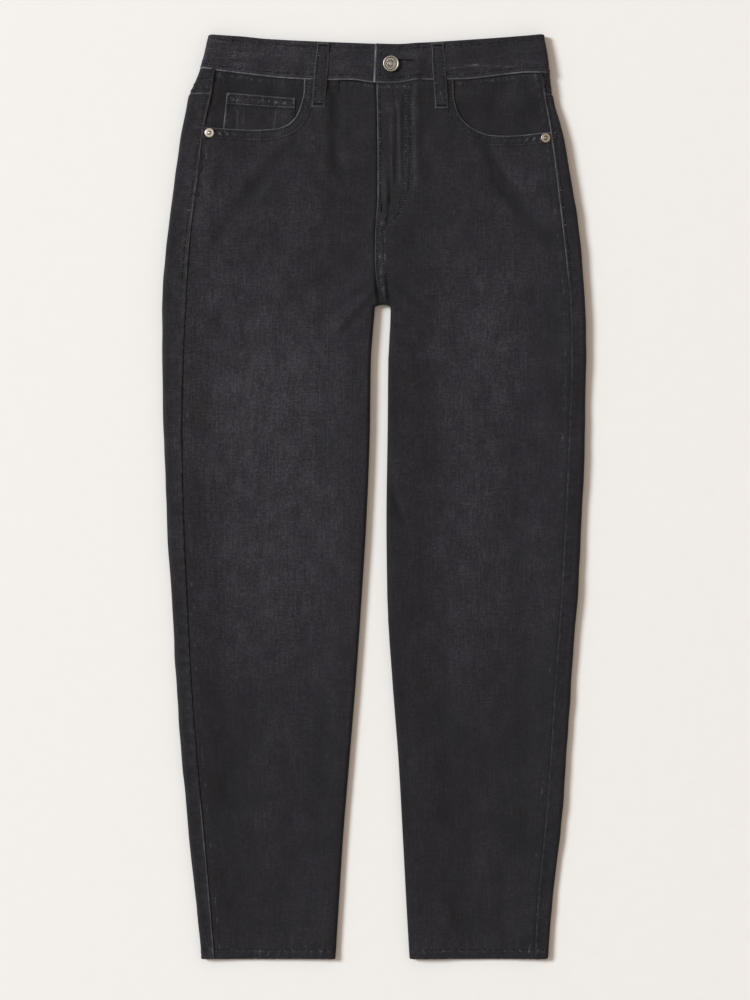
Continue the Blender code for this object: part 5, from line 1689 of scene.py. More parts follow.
def band_row(v):
    parts = [band_front(np.arange(BAND_LAP, -171.0, -2.0), v, False)]
    for side in ("right", "left"):
        s = SIGN[side]
        y = mix(SIDE_LOWER[side], SIDE_UPPER[side], v)
        xo = float(outer_x[side](y)) - s * BAND_WALL / 2
        x_in = xo - s * FOLD_REACH
        low = float(bottom_z(y))
        high = float(base_z(side, np.array([x_in]), np.array([y]))[0])
        high += BAND_RISE
        r = (high - low) / 2.0
        a = np.linspace(0.0, pi, 15)
        fold = np.stack([xo - s * FOLD_REACH * (1.0 - np.sin(a)),
                         np.full(a.shape, y), low + r - r * np.cos(a)],
                        axis=1)
        if side == "right":
            parts.append(fold[::-1])
            u = np.linspace(0.0, 1.0, 142)[1:-1]
            x = mix(float(band_x(-180.0, v)), float(band_x(182.0, v)), u)
            lowline = np.where(
                u <= 0.5, mix(SIDE_LOWER["right"], BAND_BACK_CENTRE, u * 2),
                mix(BAND_BACK_CENTRE, SIDE_LOWER["left"], u * 2 - 1))
            dip = 1.2 * (1.0 - (2 * u - 1.0) ** 2)
            yb = mix(lowline, upper_y(x) - dip, v)
            parts.append(np.stack([x, yb, np.full(x.shape,
                                                  float(bottom_z(480.0)))],
                                  axis=1))
        else:
            parts.append(fold)
    xs = np.concatenate([np.arange(172.0, 1.0, -2.0)])
    parts.append(band_front(xs, v, True))
    parts.append(band_front(np.array([BAND_END + 0.6]), v, True))
    return np.concatenate(parts)


def smooth_run(p, passes):
    """Ease the spacing of points along a line, keeping its ends."""
    for _ in range(passes):
        p = p.copy()
        p[1:-1] = 0.5 * p[1:-1] + 0.25 * (p[:-2] + p[2:])
    return p


# soft folds along the waistband's front: as the creases above
BAND_FOLDS = (
    (442, 69, 476, 66.5, 0.75, 1.8), (476, 66.5, 511, 69, 0.75, 1.8),
    (446, 73, 506, 73, -0.45, 2.2), (214, 61, 268, 55, 0.45, 2.2),
    (262, 63, 330, 57, 0.45, 2.2), (230, 56, 300, 50, -0.35, 2.4),
    (470, 54, 532, 52, 0.35, 2.4), (352, 58, 368, 72, 0.40, 2.0),
    (418, 74, 434, 62, 0.35, 2.0),
)


# paler streaks on it, worn along the folds
BAND_STREAKS = (
    (446, 69, 476, 66.5, 0.38, 1.1), (476, 66.5, 511, 67.5, 0.36, 1.1),
    (214, 50, 262, 55, 0.17, 2.4), (228, 60, 330, 62, 0.17, 2.2),
    (206, 68, 300, 66, 0.16, 1.8), (196, 58, 236, 56, 0.10, 3.0),
    (470, 55, 532, 53, 0.12, 2.6), (386, 76, 396, 66, 0.16, 3.0),
)


def band_relief(run, v, x, y, upper):
    """Outer face of the waistband."""
    h = v * 40.0
    edge = np.minimum(h, 40.0 - h)
    r = 0.16 * ruffle(run * 0.8, h * 1.2) + 0.20 * drape(run, h)
    r += 0.22 * pucker(run * 0.9, h * 0.35) * bell(edge - 3.0, 5.0)
    r += 0.05 * tiny(run, h)
    r += 0.12 * bell(edge - 1.0, 1.2)
    r += stitch_dip(edge - 4.5)
    for a, b, c, d, height, width in BAND_FOLDS:
        x0, y0 = at(a, b)
        x1, y1 = at(c, d)
        r += line_rise(x, y, x0, y0, x1, y1, height, width) * (upper > 0.9)
    return r * upper


def waistband():
    vs = np.concatenate([np.linspace(0.0, 0.14, 7)[:-1],
                         np.linspace(0.14, 0.86, 16),
                         np.linspace(0.86, 1.0, 7)[1:]])
    mid = np.array([band_row(v) for v in vs])
    n = normals_of(mid)
    if n[10, 180, 2] > 0.0:
        n = -n
    # ease normals along the run so that the folds stay smooth
    for _ in range(3):
        n[:, 1:-1] = 0.5 * n[:, 1:-1] + 0.25 * (n[:, :-2] + n[:, 2:])
    n /= np.linalg.norm(n, axis=2)[..., None]
    run = np.cumsum(np.concatenate([
        [0.0], np.linalg.norm(np.diff(mid[12], axis=0), axis=1)]))
    RUN = np.repeat(run[None], len(vs), axis=0)
    V = np.repeat(vs[:, None], len(run), axis=1)
    up = n[..., 2]
    upper = np.where(up > -0.2, 1.0, 0.25)
    rel = band_relief(RUN, V, mid[..., 0], mid[..., 1], upper)
    h = BAND_WALL / 2
    outer = mid + n * (h + rel)[..., None]
    inner = mid - n * h
    # round the two long edges
    out_dir = mid[-1] - mid[-2]
    out_dir /= np.linalg.norm(out_dir, axis=1)[:, None]
    low_dir = mid[0] - mid[1]
    low_dir /= np.linalg.norm(low_dir, axis=1)[:, None]
    rows = [outer[k] for k in range(len(vs))]
    vv = list(vs)
    for k in range(1, 5):
        a = pi * k / 5
        rows.append(mid[-1] + out_dir * (h * sin(a) * 0.9)
                    + n[-1] * (h * cos(a)))
        vv.append(1.0 + 0.02 * k)
    keep = list(range(len(vs) - 1, -1, -3))
    for k in keep:
        rows.append(inner[k])
        vv.append(2.2 - vs[k])
    for k in range(1, 5):
        a = pi * k / 5
        rows.append(mid[0] + low_dir * (h * sin(a) * 0.9)
                    - n[0] * (h * cos(a)))
        vv.append(-0.02 * (5 - k))
    P = np.array(rows)
    P[..., 2] = np.maximum(P[..., 2], 0.04)
    vv = np.array(vv)
    count, length = P.shape[:2]
    uv = np.stack([np.repeat((vv * 40.0)[:, None], length, axis=1),
                   np.repeat(run[None], count, axis=0)], axis=2)
    H = np.clip(uv[..., 0], 0.0, 40.0)
    RR = uv[..., 1]
    rough = patchy(H, RR)
    front = (P[..., 2] > 5.0)
    low_edge = np.where(uv[..., 0] < 50.0, H, 40.0)
    top_edge = np.where(uv[..., 0] < 50.0, 40.0 - H, 0.0)
    wear = (0.24 * bell(low_edge + 0.2, 1.6) * (0.85 + 0.2 * rough)
            + 0.16 * bell(top_edge - 0.2, 1.4) * (0.6 + 0.35 * rough)
            + 0.10 * bell(low_edge - 5.0, 2.2) * np.clip(rough, 0, 2))
    for a, b, c, d, share, width in BAND_STREAKS:
        x0, y0 = at(a, b)
        x1, y1 = at(c, d)
        wear += (line_rise(P[..., 0], P[..., 1], x0, y0, x1, y1, share, width)
                 * (0.8 + 0.2 * slow_b(RR * 1.5, H * 2.0)) * front)
    wear = np.where(front, wear, wear * 0.6)
    shade = 1.0 + 0.07 * slow_b(RR, H) + 0.05 * slow_a(RR, H)
    shade *= mix(1.25, 1.0, ramp(P[..., 0], -60.0, 30.0))
    # painted shade on the rolled top edge
    shade *= np.where((vv > 1.0) & (vv < 1.1), 0.30, 1.0)[:, None]
    shade *= 1.0 + 0.06 * ruffle(RR, H * 1.6)
    # worn line along the end that lies on top, with a painted highlight on that edge
    end_wear_and_highlight = 0.42 + 0.40 * bell(H - 1.0, 5.0) + 0.30 * bell(H - 33.0, 6.0)
    low_worn = np.full(count, 0.50)
    low_worn[-4:] = (0.0, 0.0, 0.34, 0.50)
    lines = nearest_edge(
        (np.where(uv[..., 0] < 50.0, low_edge + 0.36, 99.0),
         low_worn[:, None] * np.ones(H.shape)),
        (top_edge * 1.4 + 0.62, 0.04), (run[-1] - RR + 0.05, end_wear_and_highlight))
    edge, worn = lines["edge"], lines["line"]
    # ends: the ring is drawn in and closed
    faces = [grid_faces(count, length, wrap_rows=True)]
    verts = P.reshape(-1, 3)
    wear_f, shade_f = wear.reshape(-1), shade.reshape(-1)
    cloth = np.concatenate([uv.reshape(-1, 2), np.zeros((len(verts), 1))],
                           axis=1)
    mid_row, mid_col = len(vs) // 2, 40
    a = P[mid_row + 1, mid_col] - P[mid_row, mid_col]
    b = P[mid_row, mid_col + 1] - P[mid_row, mid_col]
    if np.dot(np.cross(b, a), n[mid_row, mid_col]) < 0.0:
        faces = [faces[0][:, ::-1]]
    extra_v, extra_w, extra_s, extra_e = [], [], [], []
    extra_l, extra_c, quads, tris = [], [], [], []
    total = len(verts)
    for col, beyond in ((0, 1), (length - 1, length - 2)):
        ring = P[:, col]
        out = ring.mean(axis=0) - P[:, beyond].mean(axis=0)
        out /= np.linalg.norm(out)
        start = np.arange(count) * length + col
        centre = ring.mean(axis=0)
        axis = (mid[-1, col] - mid[0, col])
        axis /= np.linalg.norm(axis)
        previous = start
        for share, push in ((0.93, 0.55), (0.72, 0.95), (0.35, 1.15)):
            # shrink only across the thickness and a little along the height
            rel_p = ring - centre
            along = np.sum(rel_p * axis, axis=1)[:, None] * axis[None]
            side_p = rel_p - along
            small = centre + along * (1.0 - (1 - share) * 0.06) \
                + side_p * share + out * push
            ids = total + np.arange(count)
            extra_v.append(small)
            extra_w.append(np.full(count, 0.55))
            extra_s.append(np.full(count, 1.0))
            extra_e.append(np.full(count, 0.1))
            extra_l.append(worn[:, col])
            c = cloth[start].copy()
            c[:, 1] += push * (1 if col else -1)
            extra_c.append(c)
            nxt = np.roll(np.arange(count), -1)
            quads.append(np.stack([previous, previous[nxt], ids[nxt], ids],
                                  axis=1))
            total += count
            previous = ids
        extra_v.append((centre + out * 1.2)[None])
        extra_w.append(np.array([0.5]))
        extra_s.append(np.array([1.0]))
        extra_e.append(np.array([0.1]))
        extra_l.append(np.array([0.4]))
        extra_c.append(cloth[start[:1]])
        nxt = np.roll(np.arange(count), -1)
        tris.append(np.stack([previous, previous[nxt],
                              np.full(count, total)], axis=1))
        total += 1
    verts = np.concatenate([verts] + extra_v)
    fields = {"wear": np.clip(np.concatenate([wear_f] + extra_w), 0, 1),
              "tone_and_painted_light": np.concatenate([shade_f] + extra_s),
              "edge": np.concatenate([edge.reshape(-1)] + extra_e),
              "line": np.concatenate([worn.reshape(-1)] + extra_l),
              "cloth": np.concatenate([cloth] + extra_c)}
    ob = new_object("denim_waistband", verts,
                    faces + [np.concatenate(quads), np.concatenate(tris)],
                    DENIM_BAND, fields)
    # stitch rows on the outer face
    for v in (4.4 / 40.0, 1.0 - 4.4 / 40.0):
        k = int(np.argmin(np.abs(vs - v)))
        line, nn = outer[k], n[k]
        first = 24
        threads.row("stitches_waistband", line[first:-3], nn[first:-3],
                    rise=0.22)
    # upright row at the end that lies on top
    k = length - 4
    threads.row("stitches_waistband", outer[3:-3, k], n[3:-3, k], rise=0.22)
    buttonhole(outer, n)
    return ob


def buttonhole(outer, n):
    """Worked slit that runs away from the button: a near-black thread laid along the gap as
    painted shade, between two banks of close stitches, closed by a bar at its end."""
    near = outer[:, -40:].reshape(-1, 3)

    def height(x, y):
        d = np.hypot(near[:, 0] - x, near[:, 1] - y)
        order = np.argsort(d)[:4]
        w = 1.0 / (d[order] + 0.1)
        return float(np.sum(near[order, 2] * w) / np.sum(w))
    y = BUTTONHOLE["y"] - 0.5
    ends = (26.5, BUTTONHOLE["x"] - 0.6)
    up = (0.0, 0.0, 1.0)
    for off, shade in ((1.0, 0.34), (-1.0, 0.56)):
        threads.tack("stitches_waistband",
                     (ends[0], y + off, height(ends[0], y + off) - 0.12),
                     (ends[1], y + off, height(ends[1], y + off) - 0.12),
                     up, width=1.4, shade=shade)
    # near-black thread along the slit: painted shade in its gap
    line = np.array([(x, y, height(x, y) + 0.06)
                     for x in np.linspace(ends[0], ends[1], 12)])
    threads.row("stitches_waistband", line, np.tile(up, (12, 1)), pitch=5.2,
                length=5.4, width=0.5, rise=0.1, shade=0.02, vary=0.0,
                knuckle=0.0)
    x = ends[1] + 0.8
    threads.tack("stitches_waistband", (x, y - 1.7, height(x, y) - 0.1),
                 (x, y + 1.7, height(x, y) - 0.1), up, width=1.3, shade=0.36)


def band_top(x, y):
    """Height of the waistband's outer face on the front, near enough for
    what lies on it."""
    x = np.asarray(x, float)
    y = np.asarray(y, float)
    z = np.where(x < X_FORK, base_z("right", x, y), base_z("left", x, y))
    over = (x > BAND_END)
    return z + BAND_RISE + np.where(over, band_lap(x), 0.0) + BAND_WALL / 2


# -------------------------------------------------------------- belt loops
def front_loop(side, x_top, y_top, x_foot, y_foot):
    ys = spaced((y_foot, y_top, 1.1))
    half = LOOP_WIDTH / 2
    us = np.linspace(-1.0, 1.0, 19)
    rows = []
    for y in ys:
        xc = mix(x_foot, x_top, (y - y_foot) / (y_top - y_foot))
        xs3 = np.array([xc - half, xc, xc + half])
        t = float(ramp(y, 446.0, 457.0))
        zf = float(np.max(front_core(side, xs3, np.full(3, y)))) + WALL / 2
        zb = float(np.max(band_top(xs3, np.full(3, y))))
        z = mix(zf, zb, t) + 0.55
        z += 0.9 * float(bell(y - 451.0, 9.0)) - 0.2
        rows.append((xc, y, z))
    rows = np.array(rows)
    X = rows[:, 0:1] + us[None] * half
    Y = np.repeat(rows[:, 1:2], len(us), axis=1)
    Z = np.repeat(rows[:, 2:3], len(us), axis=1)
    across = us[None] * half
    edge = half - np.abs(across)
    Z = Z + LOOP_WALL / 2 + 0.14 * bell(edge - 1.2, 1.4)
    Z = Z + stitch_dip(edge - 2.3) * 0.7 + 0.05 * tiny(X, Y)
    Z = Z + 0.10 * pucker(X * 0.5, Y) * bell(edge, 4.0)
    X = X + 0.25 * slow_b(Y * 1.5, 3.0 + 0.0 * Y) * np.sign(across)
    P = np.stack([X, Y, Z], axis=2)
    n = normals_of(P, up=np.array([0.0, 0.0, 1.0]))
    uv = np.stack([across + 2300.0 + 0.0 * Y, Y], axis=2)
    rough = patchy(X, Y)
    low = Y - ys[0]
    high = ys[-1] - Y
    wear = (0.16 * bell(edge - 0.4, 1.1) * (0.6 + 0.4 * rough)
            + 0.20 * bell(low - 0.6, 1.6) + 0.20 * bell(high - 0.6, 1.6)
            + 0.14 * bell(across, 2.2) * np.clip(rough, 0, 2))
    extra = {"wear": np.clip(wear, 0, 1),
             "tone_and_painted_light": 0.94 + 0.05 * slow_b(X, Y)}
    extra.update(nearest_edge((edge * 1.3 + 0.50, 0.24),
                              (np.minimum(low, high) + 0.30, 0.26)))
    tracks = []
    for col in (3, len(us) - 4):
        tracks.append((P[2:-2, col], n[2:-2, col]))
    P, n, uv, extra = roll_edge(P, n, uv, extra, "first_row", 1.9, 3.0)
    P, n, uv, extra = roll_edge(P, n, uv, extra, "last_row", 1.9, 3.0)
    P, n, uv, extra = roll_edge(P, n, uv, extra, "first_col", 1.5, 3.0)
    P, n, uv, extra = roll_edge(P, n, uv, extra, "last_col", 1.5, 3.0)
    ob = shell("belt_loop_" + side + "_front", P, n, uv, extra, DENIM_BAND)
    for line, nn in tracks:
        threads.row("stitches_loops", line, nn, rise=0.2, width=0.8)
    for y in (ys[0] + 2.6, ys[-1] - 2.6):
        j = int(np.argmin(np.abs(ys - y)))
        xc = rows[j, 0]
        z = rows[j, 2] + LOOP_WALL / 2
        threads.tack("stitches_loops", (xc - 5.0, y, z), (xc + 5.0, y, z),
                     (0, 0, 1))
    return ob


def flat_piece(name, outline_fn, rows, cols, top, thick, mat, uv_shift,
               hem=None, wear_edge=0.4):
    """A flat patch on the underside: outer face looks down, at height top."""
    v, u = np.meshgrid(np.linspace(0, 1, rows), np.linspace(0, 1, cols),
                       indexing="ij")
    X, Y, E = outline_fn(u, v)
    Z = top + 0.10 * (1.0 + 0.5 * ruffle(X, Y)).clip(0.0, 2.0)
    Z = Z + 0.12 * bell(E - 3.0, 1.0) + 0.12 * bell(E - 9.4, 1.0)
    Z = Z - 0.06 * bell(E - 1.0, 1.5)
    P = np.stack([X, Y, np.maximum(Z, 0.04)], axis=2)
    n = normals_of(P, up=np.array([0.0, 0.0, -1.0]))
    uv = np.stack([X + uv_shift, Y], axis=2)
    rough = patchy(X, Y)
    wear = wear_edge * bell(E - 0.6, 1.4) * (0.6 + 0.4 * rough)
    extra = {"wear": np.clip(wear, 0, 1), "tone_and_painted_light": 1.0 + 0.04 * slow_b(X, Y),
             "edge": E * 1.2 + 0.3, "line": np.full(X.shape, 0.35)}
    for where in ("first_row", "last_row", "first_col", "last_col"):
        P, n, uv, extra = roll_edge(P, n, uv, extra, where, thick, 2.0)
    P[..., 2] = np.maximum(P[..., 2], 0.04)
    return shell(name, P, n, uv, extra, mat)


def back_loop(name, x, y_top, y_foot):
    half = LOOP_WIDTH / 2

    def outline(u, v):
        X = x + (u * 2 - 1) * half
        Y = mix(y_foot + 0.6, y_top - 0.6, v)
        E = np.minimum(half - np.abs(X - x),
                       np.minimum(Y - y_foot, y_top - Y))
        return X, Y, E
    ob = flat_piece("belt_loop_back_" + name + "_cloth", outline, 48, 15,
                    0.14, 0.95, DENIM_BAND, 2600.0)
    for off in (-3.9, 3.9):
        ys = np.linspace(y_foot + 3.0, y_top - 3.0, 30)
        line = np.stack([np.full(30, x + off), ys, np.full(30, 0.22)], axis=1)
        threads.row("stitches_back", line, np.tile((0.0, 0.0, -1.0), (30, 1)),
                    rise=0.1)
    for y in (y_foot + 2.4, y_top - 2.4):
        threads.tack("stitches_back", (x - 5.0, y, 0.28), (x + 5.0, y, 0.28),
                     (0, 0, -1))
    return ob


def back_pocket(side):
    s = SIGN[side]
    b = BACK_POCKET
    c, sn = cos(b["lean"]), sin(b["lean"])

    def place(across, down):
        return (s * (b["centre"] + across * c + down * sn),
                b["top"] + across * sn - down * c)

    def local(u, v):
        # v runs down the pocket, u across
        half = mix(b["width_top"], b["width_foot"], v) / 2 - 0.6
        across = (u * 2 - 1) * half
        depth = b["side"] + b["point"] * (1 - np.abs(u * 2 - 1)) - 0.6
        down = 0.6 + v * (depth - 0.6)
        return across, down, half, depth

    def outline(u, v):
        across, down, half, depth = local(u, v)
        X, Y = place(across, down)
        slope = 0.93
        E = np.minimum(np.minimum(half - np.abs(across), down),
                       (depth - down) * slope)
        return X, Y, E
    ob = flat_piece("back_pocket_cloth_" + side, outline, 96, 84, 0.14, 0.95,
                    DENIM, 3000.0)
    for inset in (2.6, 8.6):
        pts = []
        u = np.array([0.0])
        half_t = b["width_top"] / 2 - inset
        half_f = b["width_foot"] / 2 - inset
        pts = [(-half_t, 1.0), (-half_f, b["side"] - inset * 0.3),
               (0.0, b["side"] + b["point"] - inset * 1.06),
               (half_f, b["side"] - inset * 0.3), (half_t, 1.0)]
        line = []
        for p, q in zip(pts, pts[1:]):
            for k in np.linspace(0, 1, 24)[:-1]:
                line.append(place(mix(p[0], q[0], k), mix(p[1], q[1], k)))
        line = np.array(line)
        line3 = np.concatenate([line, np.full((len(line), 1), 0.22)], axis=1)
        threads.row("stitches_back", line3,
                    np.tile((0.0, 0.0, -1.0), (len(line3), 1)), rise=0.1)
    for down in (8.0, 20.0):
        half = b["width_top"] / 2 - 9.5
        line = np.array([place(a, down) for a in np.linspace(-half, half, 60)])
        line3 = np.concatenate([line, np.full((60, 1), 0.22)], axis=1)
        threads.row("stitches_back", line3,
                    np.tile((0.0, 0.0, -1.0), (60, 1)), rise=0.1)
    return ob


# ------------------------------------------------------------- coin pocket
def coin_top(x, y):
    z = pocket_top("right", x, y) + 1.15
    return z


def coin_pocket():
    v, u = np.meshgrid(np.linspace(0, 1, 66), np.linspace(0, 1, 74),
                       indexing="ij")
    to, ti = np.array(COIN["top_outer"]), np.array(COIN["top_inner"])
    fo, fi = np.array(COIN["foot_outer"]), np.array(COIN["foot_inner"])
    xy = ((1 - v)[..., None] * (to + (ti - to) * u[..., None])
          + v[..., None] * (fo + (fi - fo) * u[..., None]))
    X, Y = xy[..., 0], xy[..., 1]
    down = v * 60.0
    side_in = u * 74.0
    Z = coin_top(X, Y)
    hem = 1.0 - ramp(down, 10.4, 12.2)
    Z = Z + 0.45 * hem + 0.16 * bell(down - 10.6, 0.9)
    Z = Z + stitch_dip(down - 2.4) * 0.7 + stitch_dip(down - 9.4) * 0.7
    Z = Z + 0.18 * pucker(side_in, down * 0.3) * bell(down - 6.0, 5.0)
    Z = Z + 0.10 * pucker(side_in * 0.3, down) * bell(side_in, 6.0)
    Z = Z + 0.05 * tiny(side_in, down)
    P = np.stack([X, Y, Z], axis=2)
    n = normals_of(P, up=np.array([0.0, 0.0, 1.0]))
    uv = np.stack([X + 1900.0, Y], axis=2)
    rough = patchy(X, Y)
    wear = (0.20 * bell(down - 0.5, 1.3) * (0.7 + 0.3 * rough)
            + 0.34 * bell(down - 10.0, 1.1) * (0.75 + 0.25 * rough)
            + 0.30 * bell(down - 5.6, 2.4) * np.clip(rough, 0, 2)
            + 0.20 * bell(side_in - 0.6, 1.3) * (0.6 + 0.4 * rough)
            + 0.16 * bell(side_in - 72.8, 1.3) * (0.6 + 0.4 * rough))
    # lines pressed in by what was carried in it
    below = ramp(down, 11.0, 16.0)
    for (a, b, c, d), share in (((238, 112, 236.5, 134), 0.34),
                                ((244, 112, 243, 134), 0.20),
                                ((275.7, 109.6, 274.2, 129), 0.34)):
        x0, y0 = at(a, b)
        x1, y1 = at(c, d)
        wear += below * line_rise(X, Y, x0, y0, x1, y1, share, 1.2)
    shade = 1.03 + 0.05 * slow_b(X, Y)
    shade *= 1.0 + 0.24 * bell(down - 5.6, 4.0)
    # painted shade below the step at the hem's lower edge
    shade *= 1.0 - 0.34 * bell(down - 12.2, 0.9)
    shade *= 1.0 + 0.10 * ruffle(X * 1.4, Y * 1.4)
    extra = nearest_edge((down * 1.1 + 0.3, 0.32), (side_in + 0.20, 0.40),
                         ((74.0 - side_in) * 1.3 + 0.50, 0.26),
                         (np.abs(down - 10.1) + 0.30, 0.44))
    extra.update({"wear": np.clip(wear, 0, 1), "tone_and_painted_light": shade})
    for where in ("first_row", "first_col", "last_col"):
        P, n, uv, extra = roll_edge(P, n, uv, extra, where, 1.2, 2.5)
    ob = shell("coin_pocket_cloth", P, n, uv, extra, DENIM_FACING)

    def height(x, y):
        return coin_top(x, y) + 0.25
    for k in (2.4, 9.4):
        a = to + (fo - to) * k / 60.0
        b = ti + (fi - ti) * k / 60.0
        line = a + (b - a) * np.linspace(0.02, 0.98, 60)[:, None]
        row_on("stitches_front_right", line, height, rise=0.2)
    for off in (2.2, 71.6):
        a = to + (ti - to) * off / 74.0
        b = fo + (fi - fo) * off / 74.0
        line = a + (b - a) * np.linspace(0.03, 1.0, 60)[:, None]
        row_on("stitches_front_right", line,
               lambda x, y: coin_top(x, y) + 0.02, rise=0.2)
    return ob


# ---------------------------------------------------------- button, rivets
def turned(name, profile, segments, at_point, axis, mat, knurl=None,
           deep=None):
    """Turned piece; knurl modulates its radii and heights round the axis."""
    axis = Vector(axis).normalized()
    u = axis.orthogonal().normalized()
    v = axis.cross(u)
    u, v, axis = (np.array(w) for w in (u, v, axis))
    prof = np.array(profile, float)
    th = np.arange(segments) * 2 * pi / segments
    R = np.repeat(prof[:, 0:1], segments, axis=1)
    H = np.repeat(prof[:, 1:2], segments, axis=1)
    if knurl is not None:
        R, H = knurl(R, H, th[None])
    P = (np.array(at_point)[None, None] + axis * H[..., None]
         + u * (R * np.cos(th))[..., None] + v * (R * np.sin(th))[..., None])
    rows = len(prof)
    faces = []
    j, i = np.meshgrid(np.arange(rows - 1), np.arange(segments),
                       indexing="ij")
    j, i = j.ravel(), i.ravel()
    nx = (i + 1) % segments
    quads = np.stack([j * segments + i, j * segments + nx,
                      (j + 1) * segments + nx, (j + 1) * segments + i], axis=1)
    verts = P.reshape(-1, 3)
    top = len(verts)
    low_c = np.array(at_point) + axis * prof[0, 1]
    top_c = np.array(at_point) + axis * prof[-1, 1]
    verts = np.concatenate([verts, [low_c, top_c]])
    k = np.arange(segments)
    kn = (k + 1) % segments
    tri = np.concatenate([
        np.stack([np.full(segments, top), kn, k], axis=1),
        np.stack([np.full(segments, top + 1), (rows - 1) * segments + k,
                  (rows - 1) * segments + kn], axis=1)])
    values = np.zeros(len(verts))
    if deep is not None:
        values[:rows * segments] = np.repeat(
            np.array([deep(r, h) for r, h in prof])[:, None], segments,
            axis=1).ravel()
        values[-1] = deep(0.0, prof[-1, 1])
    faces = [quads, tri]
    return new_object(name, verts, faces, mat, {"deep": values}, angle=0.9)


def waist_button():
    b = BUTTON
    z_under = float(base_z("left", np.array([b["x"]]), np.array([b["y"]]))[0])
    z_under += BAND_RISE
    z_over = z_under + BAND_WALL + GAP
    cap = z_over + BAND_WALL / 2 + GAP + 0.1
    foot = z_under - BAND_WALL / 2 - GAP - 0.7
    r, h = b["radius"], b["rise"]
    crown = [(4.2, foot), (4.2, foot + 0.7), (1.8, foot + 0.75),
             (1.8, cap), (r - 1.1, cap), (r - 0.35, cap + 0.15),
             (r, cap + 0.55), (r, cap + 1.2)]
    # rolled rim
    for k in range(9):
        a = pi * (0.0 + k / 8.0)
        crown.append((r - 0.95 + 0.95 * cos(a),
                      cap + h - 1.0 + 0.95 * sin(a)))
    crown += [(r - 2.05, cap + h - 1.15), (r - 2.3, cap + h - 1.35),
              (r - 2.6, cap + h - 1.35)]
    # knurled ring
    for k in range(7):
        t = k / 6.0
        crown.append((r - 2.75 - 1.5 * t, cap + h - 1.2 + 0.22 * sin(pi * t)))
    crown += [(r - 4.45, cap + h - 1.4), (r - 4.7, cap + h - 1.4)]
    # plain ring and a low dome in the middle
    for k in range(6):
        t = k / 5.0
        crown.append((r - 4.85 - 0.8 * t, cap + h - 1.25 + 0.22 * sin(pi * t)))
    crown += [(r - 5.8, cap + h - 1.42)]
    for k in range(6):
        t = k / 5.0
        crown.append((max((r - 6.0) * cos(t * pi / 2), 0.05),
                      cap + h - 1.45 + 0.42 * sin(t * pi / 2)))
    ring = (r - 4.3, r - 2.7)

    def knurl(R, H, th):
        band = ramp(R, ring[0], ring[0] + 0.3) * (1 - ramp(R, ring[1] - 0.3,
                                                           ring[1]))
        band = band * (H > cap + 1.0)
        H = H + 0.16 * band * np.sign(np.cos(44 * th)) * np.abs(
            np.cos(44 * th)) ** 0.5
        R = R * (1.0 + 0.004 * np.cos(3 * th + 0.6))
        return R, H

    def deep(rr, hh):
        if hh < cap + 0.3:
            return 0.7
        return float(1.0 - ramp(hh, cap + h - 1.5, cap + h - 0.9))
    ob = turned("waist_button_metal", crown, 176, (b["x"], b["y"], 0.0),
                (0.0, 0.0, 1.0), BUTTON_METAL, knurl, deep)
    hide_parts("waist_button")
    pieces.append(ob)


def rivet(side):
    x, y = RIVET_AT[side]
    h = 1.0
    z = float(front_top(side, np.array([x]), np.array([y]))[0])
    gx = float((front_core(side, np.array([x + h]), np.array([y]))
                - front_core(side, np.array([x - h]), np.array([y])))[0]) / (2 * h)
    gy = float((front_core(side, np.array([x]), np.array([y + h]))
                - front_core(side, np.array([x]), np.array([y - h])))[0]) / (2 * h)
    axis = Vector((-gx, -gy, 1.0)).normalized()
    r = RIVET_RADIUS
    base = 0.55
    prof = [(1.2, -2.2), (1.2, base), (r - 0.5, base - 0.25),
            (r - 0.1, base), (r, base + 0.25)]
    for k in range(1, 8):
        a = pi / 2 * k / 7
        prof.append((r - 0.9 + 0.9 * cos(a), base + 0.35 + 0.6 * sin(a)))
    prof += [(r * 0.70, base + 0.86), (r * 0.58, base + 0.80)]
    for k in range(5):
        t = k / 4.0
        prof.append((r * (0.54 - 0.10 * t), base + 0.86 + 0.30 * sin(pi * t)))
    prof += [(r * 0.40, base + 0.62), (r * 0.36, base + 0.40)]
    for k in range(5):
        t = k / 4.0
        prof.append((max(r * 0.30 * cos(t * pi / 2), 0.04),
                     base + 0.36 + 0.45 * sin(t * pi / 2)))

    def deep(rr, hh):
        if hh < base + 0.2:
            return 0.8
        pit = bell(rr - r * 0.34, 0.62)
        return float(min(1.0, pit + 0.45 * bell(rr - r * 0.62, 0.45)))

    def knurl(R, H, th):
        return R * (1.0 + 0.006 * np.cos(2 * th + 1.0)), \
            H + 0.03 * np.cos(3 * th) * (R > 2.0)
    mat = RIVET_NICKEL if side == "right" else RIVET_BRASS
    ob = turned("rivet_head_" + side, prof, 72, (x, y, z), axis, mat, knurl,
                deep)
    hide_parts("rivet_" + side)
    pieces.append(ob)


# ------------------------------------------------------------------- build
def cloth_piece(ob, node, flat, area, rests_on):
    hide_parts(node)
    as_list(rests_on)
    pieces.append(ob)


def area_of(ob):
    total = sum(p.area for p in ob.data.polygons)
    return total


made = {}
for side in SIGN:
    made["front_" + side] = front_panel(side)
    made["hem_" + side] = mouth_hem(side)
    made["back_" + side] = back_panel(side)
    made["yoke_" + side] = yoke(side)
    made["pocket_" + side] = pocket_sheet(side)
    made["back_pocket_" + side] = back_pocket(side)
made["waistband"] = waistband()
made["coin_pocket"] = coin_pocket()
for side, x_top, y_top, x_foot, y_foot in FRONT_LOOPS:
    made["belt_loop_front_" + side] = front_loop(side, x_top, y_top, x_foot,
                                                 y_foot)
for name, x, y_top, y_foot in BACK_LOOPS:
    made["belt_loop_back_" + name] = back_loop(name, x, y_top, y_foot)


# topstitching on the fronts
def top_right(x, y):
    return front_top("right", x, y)


def top_left(x, y):
    return front_top("left", x, y)


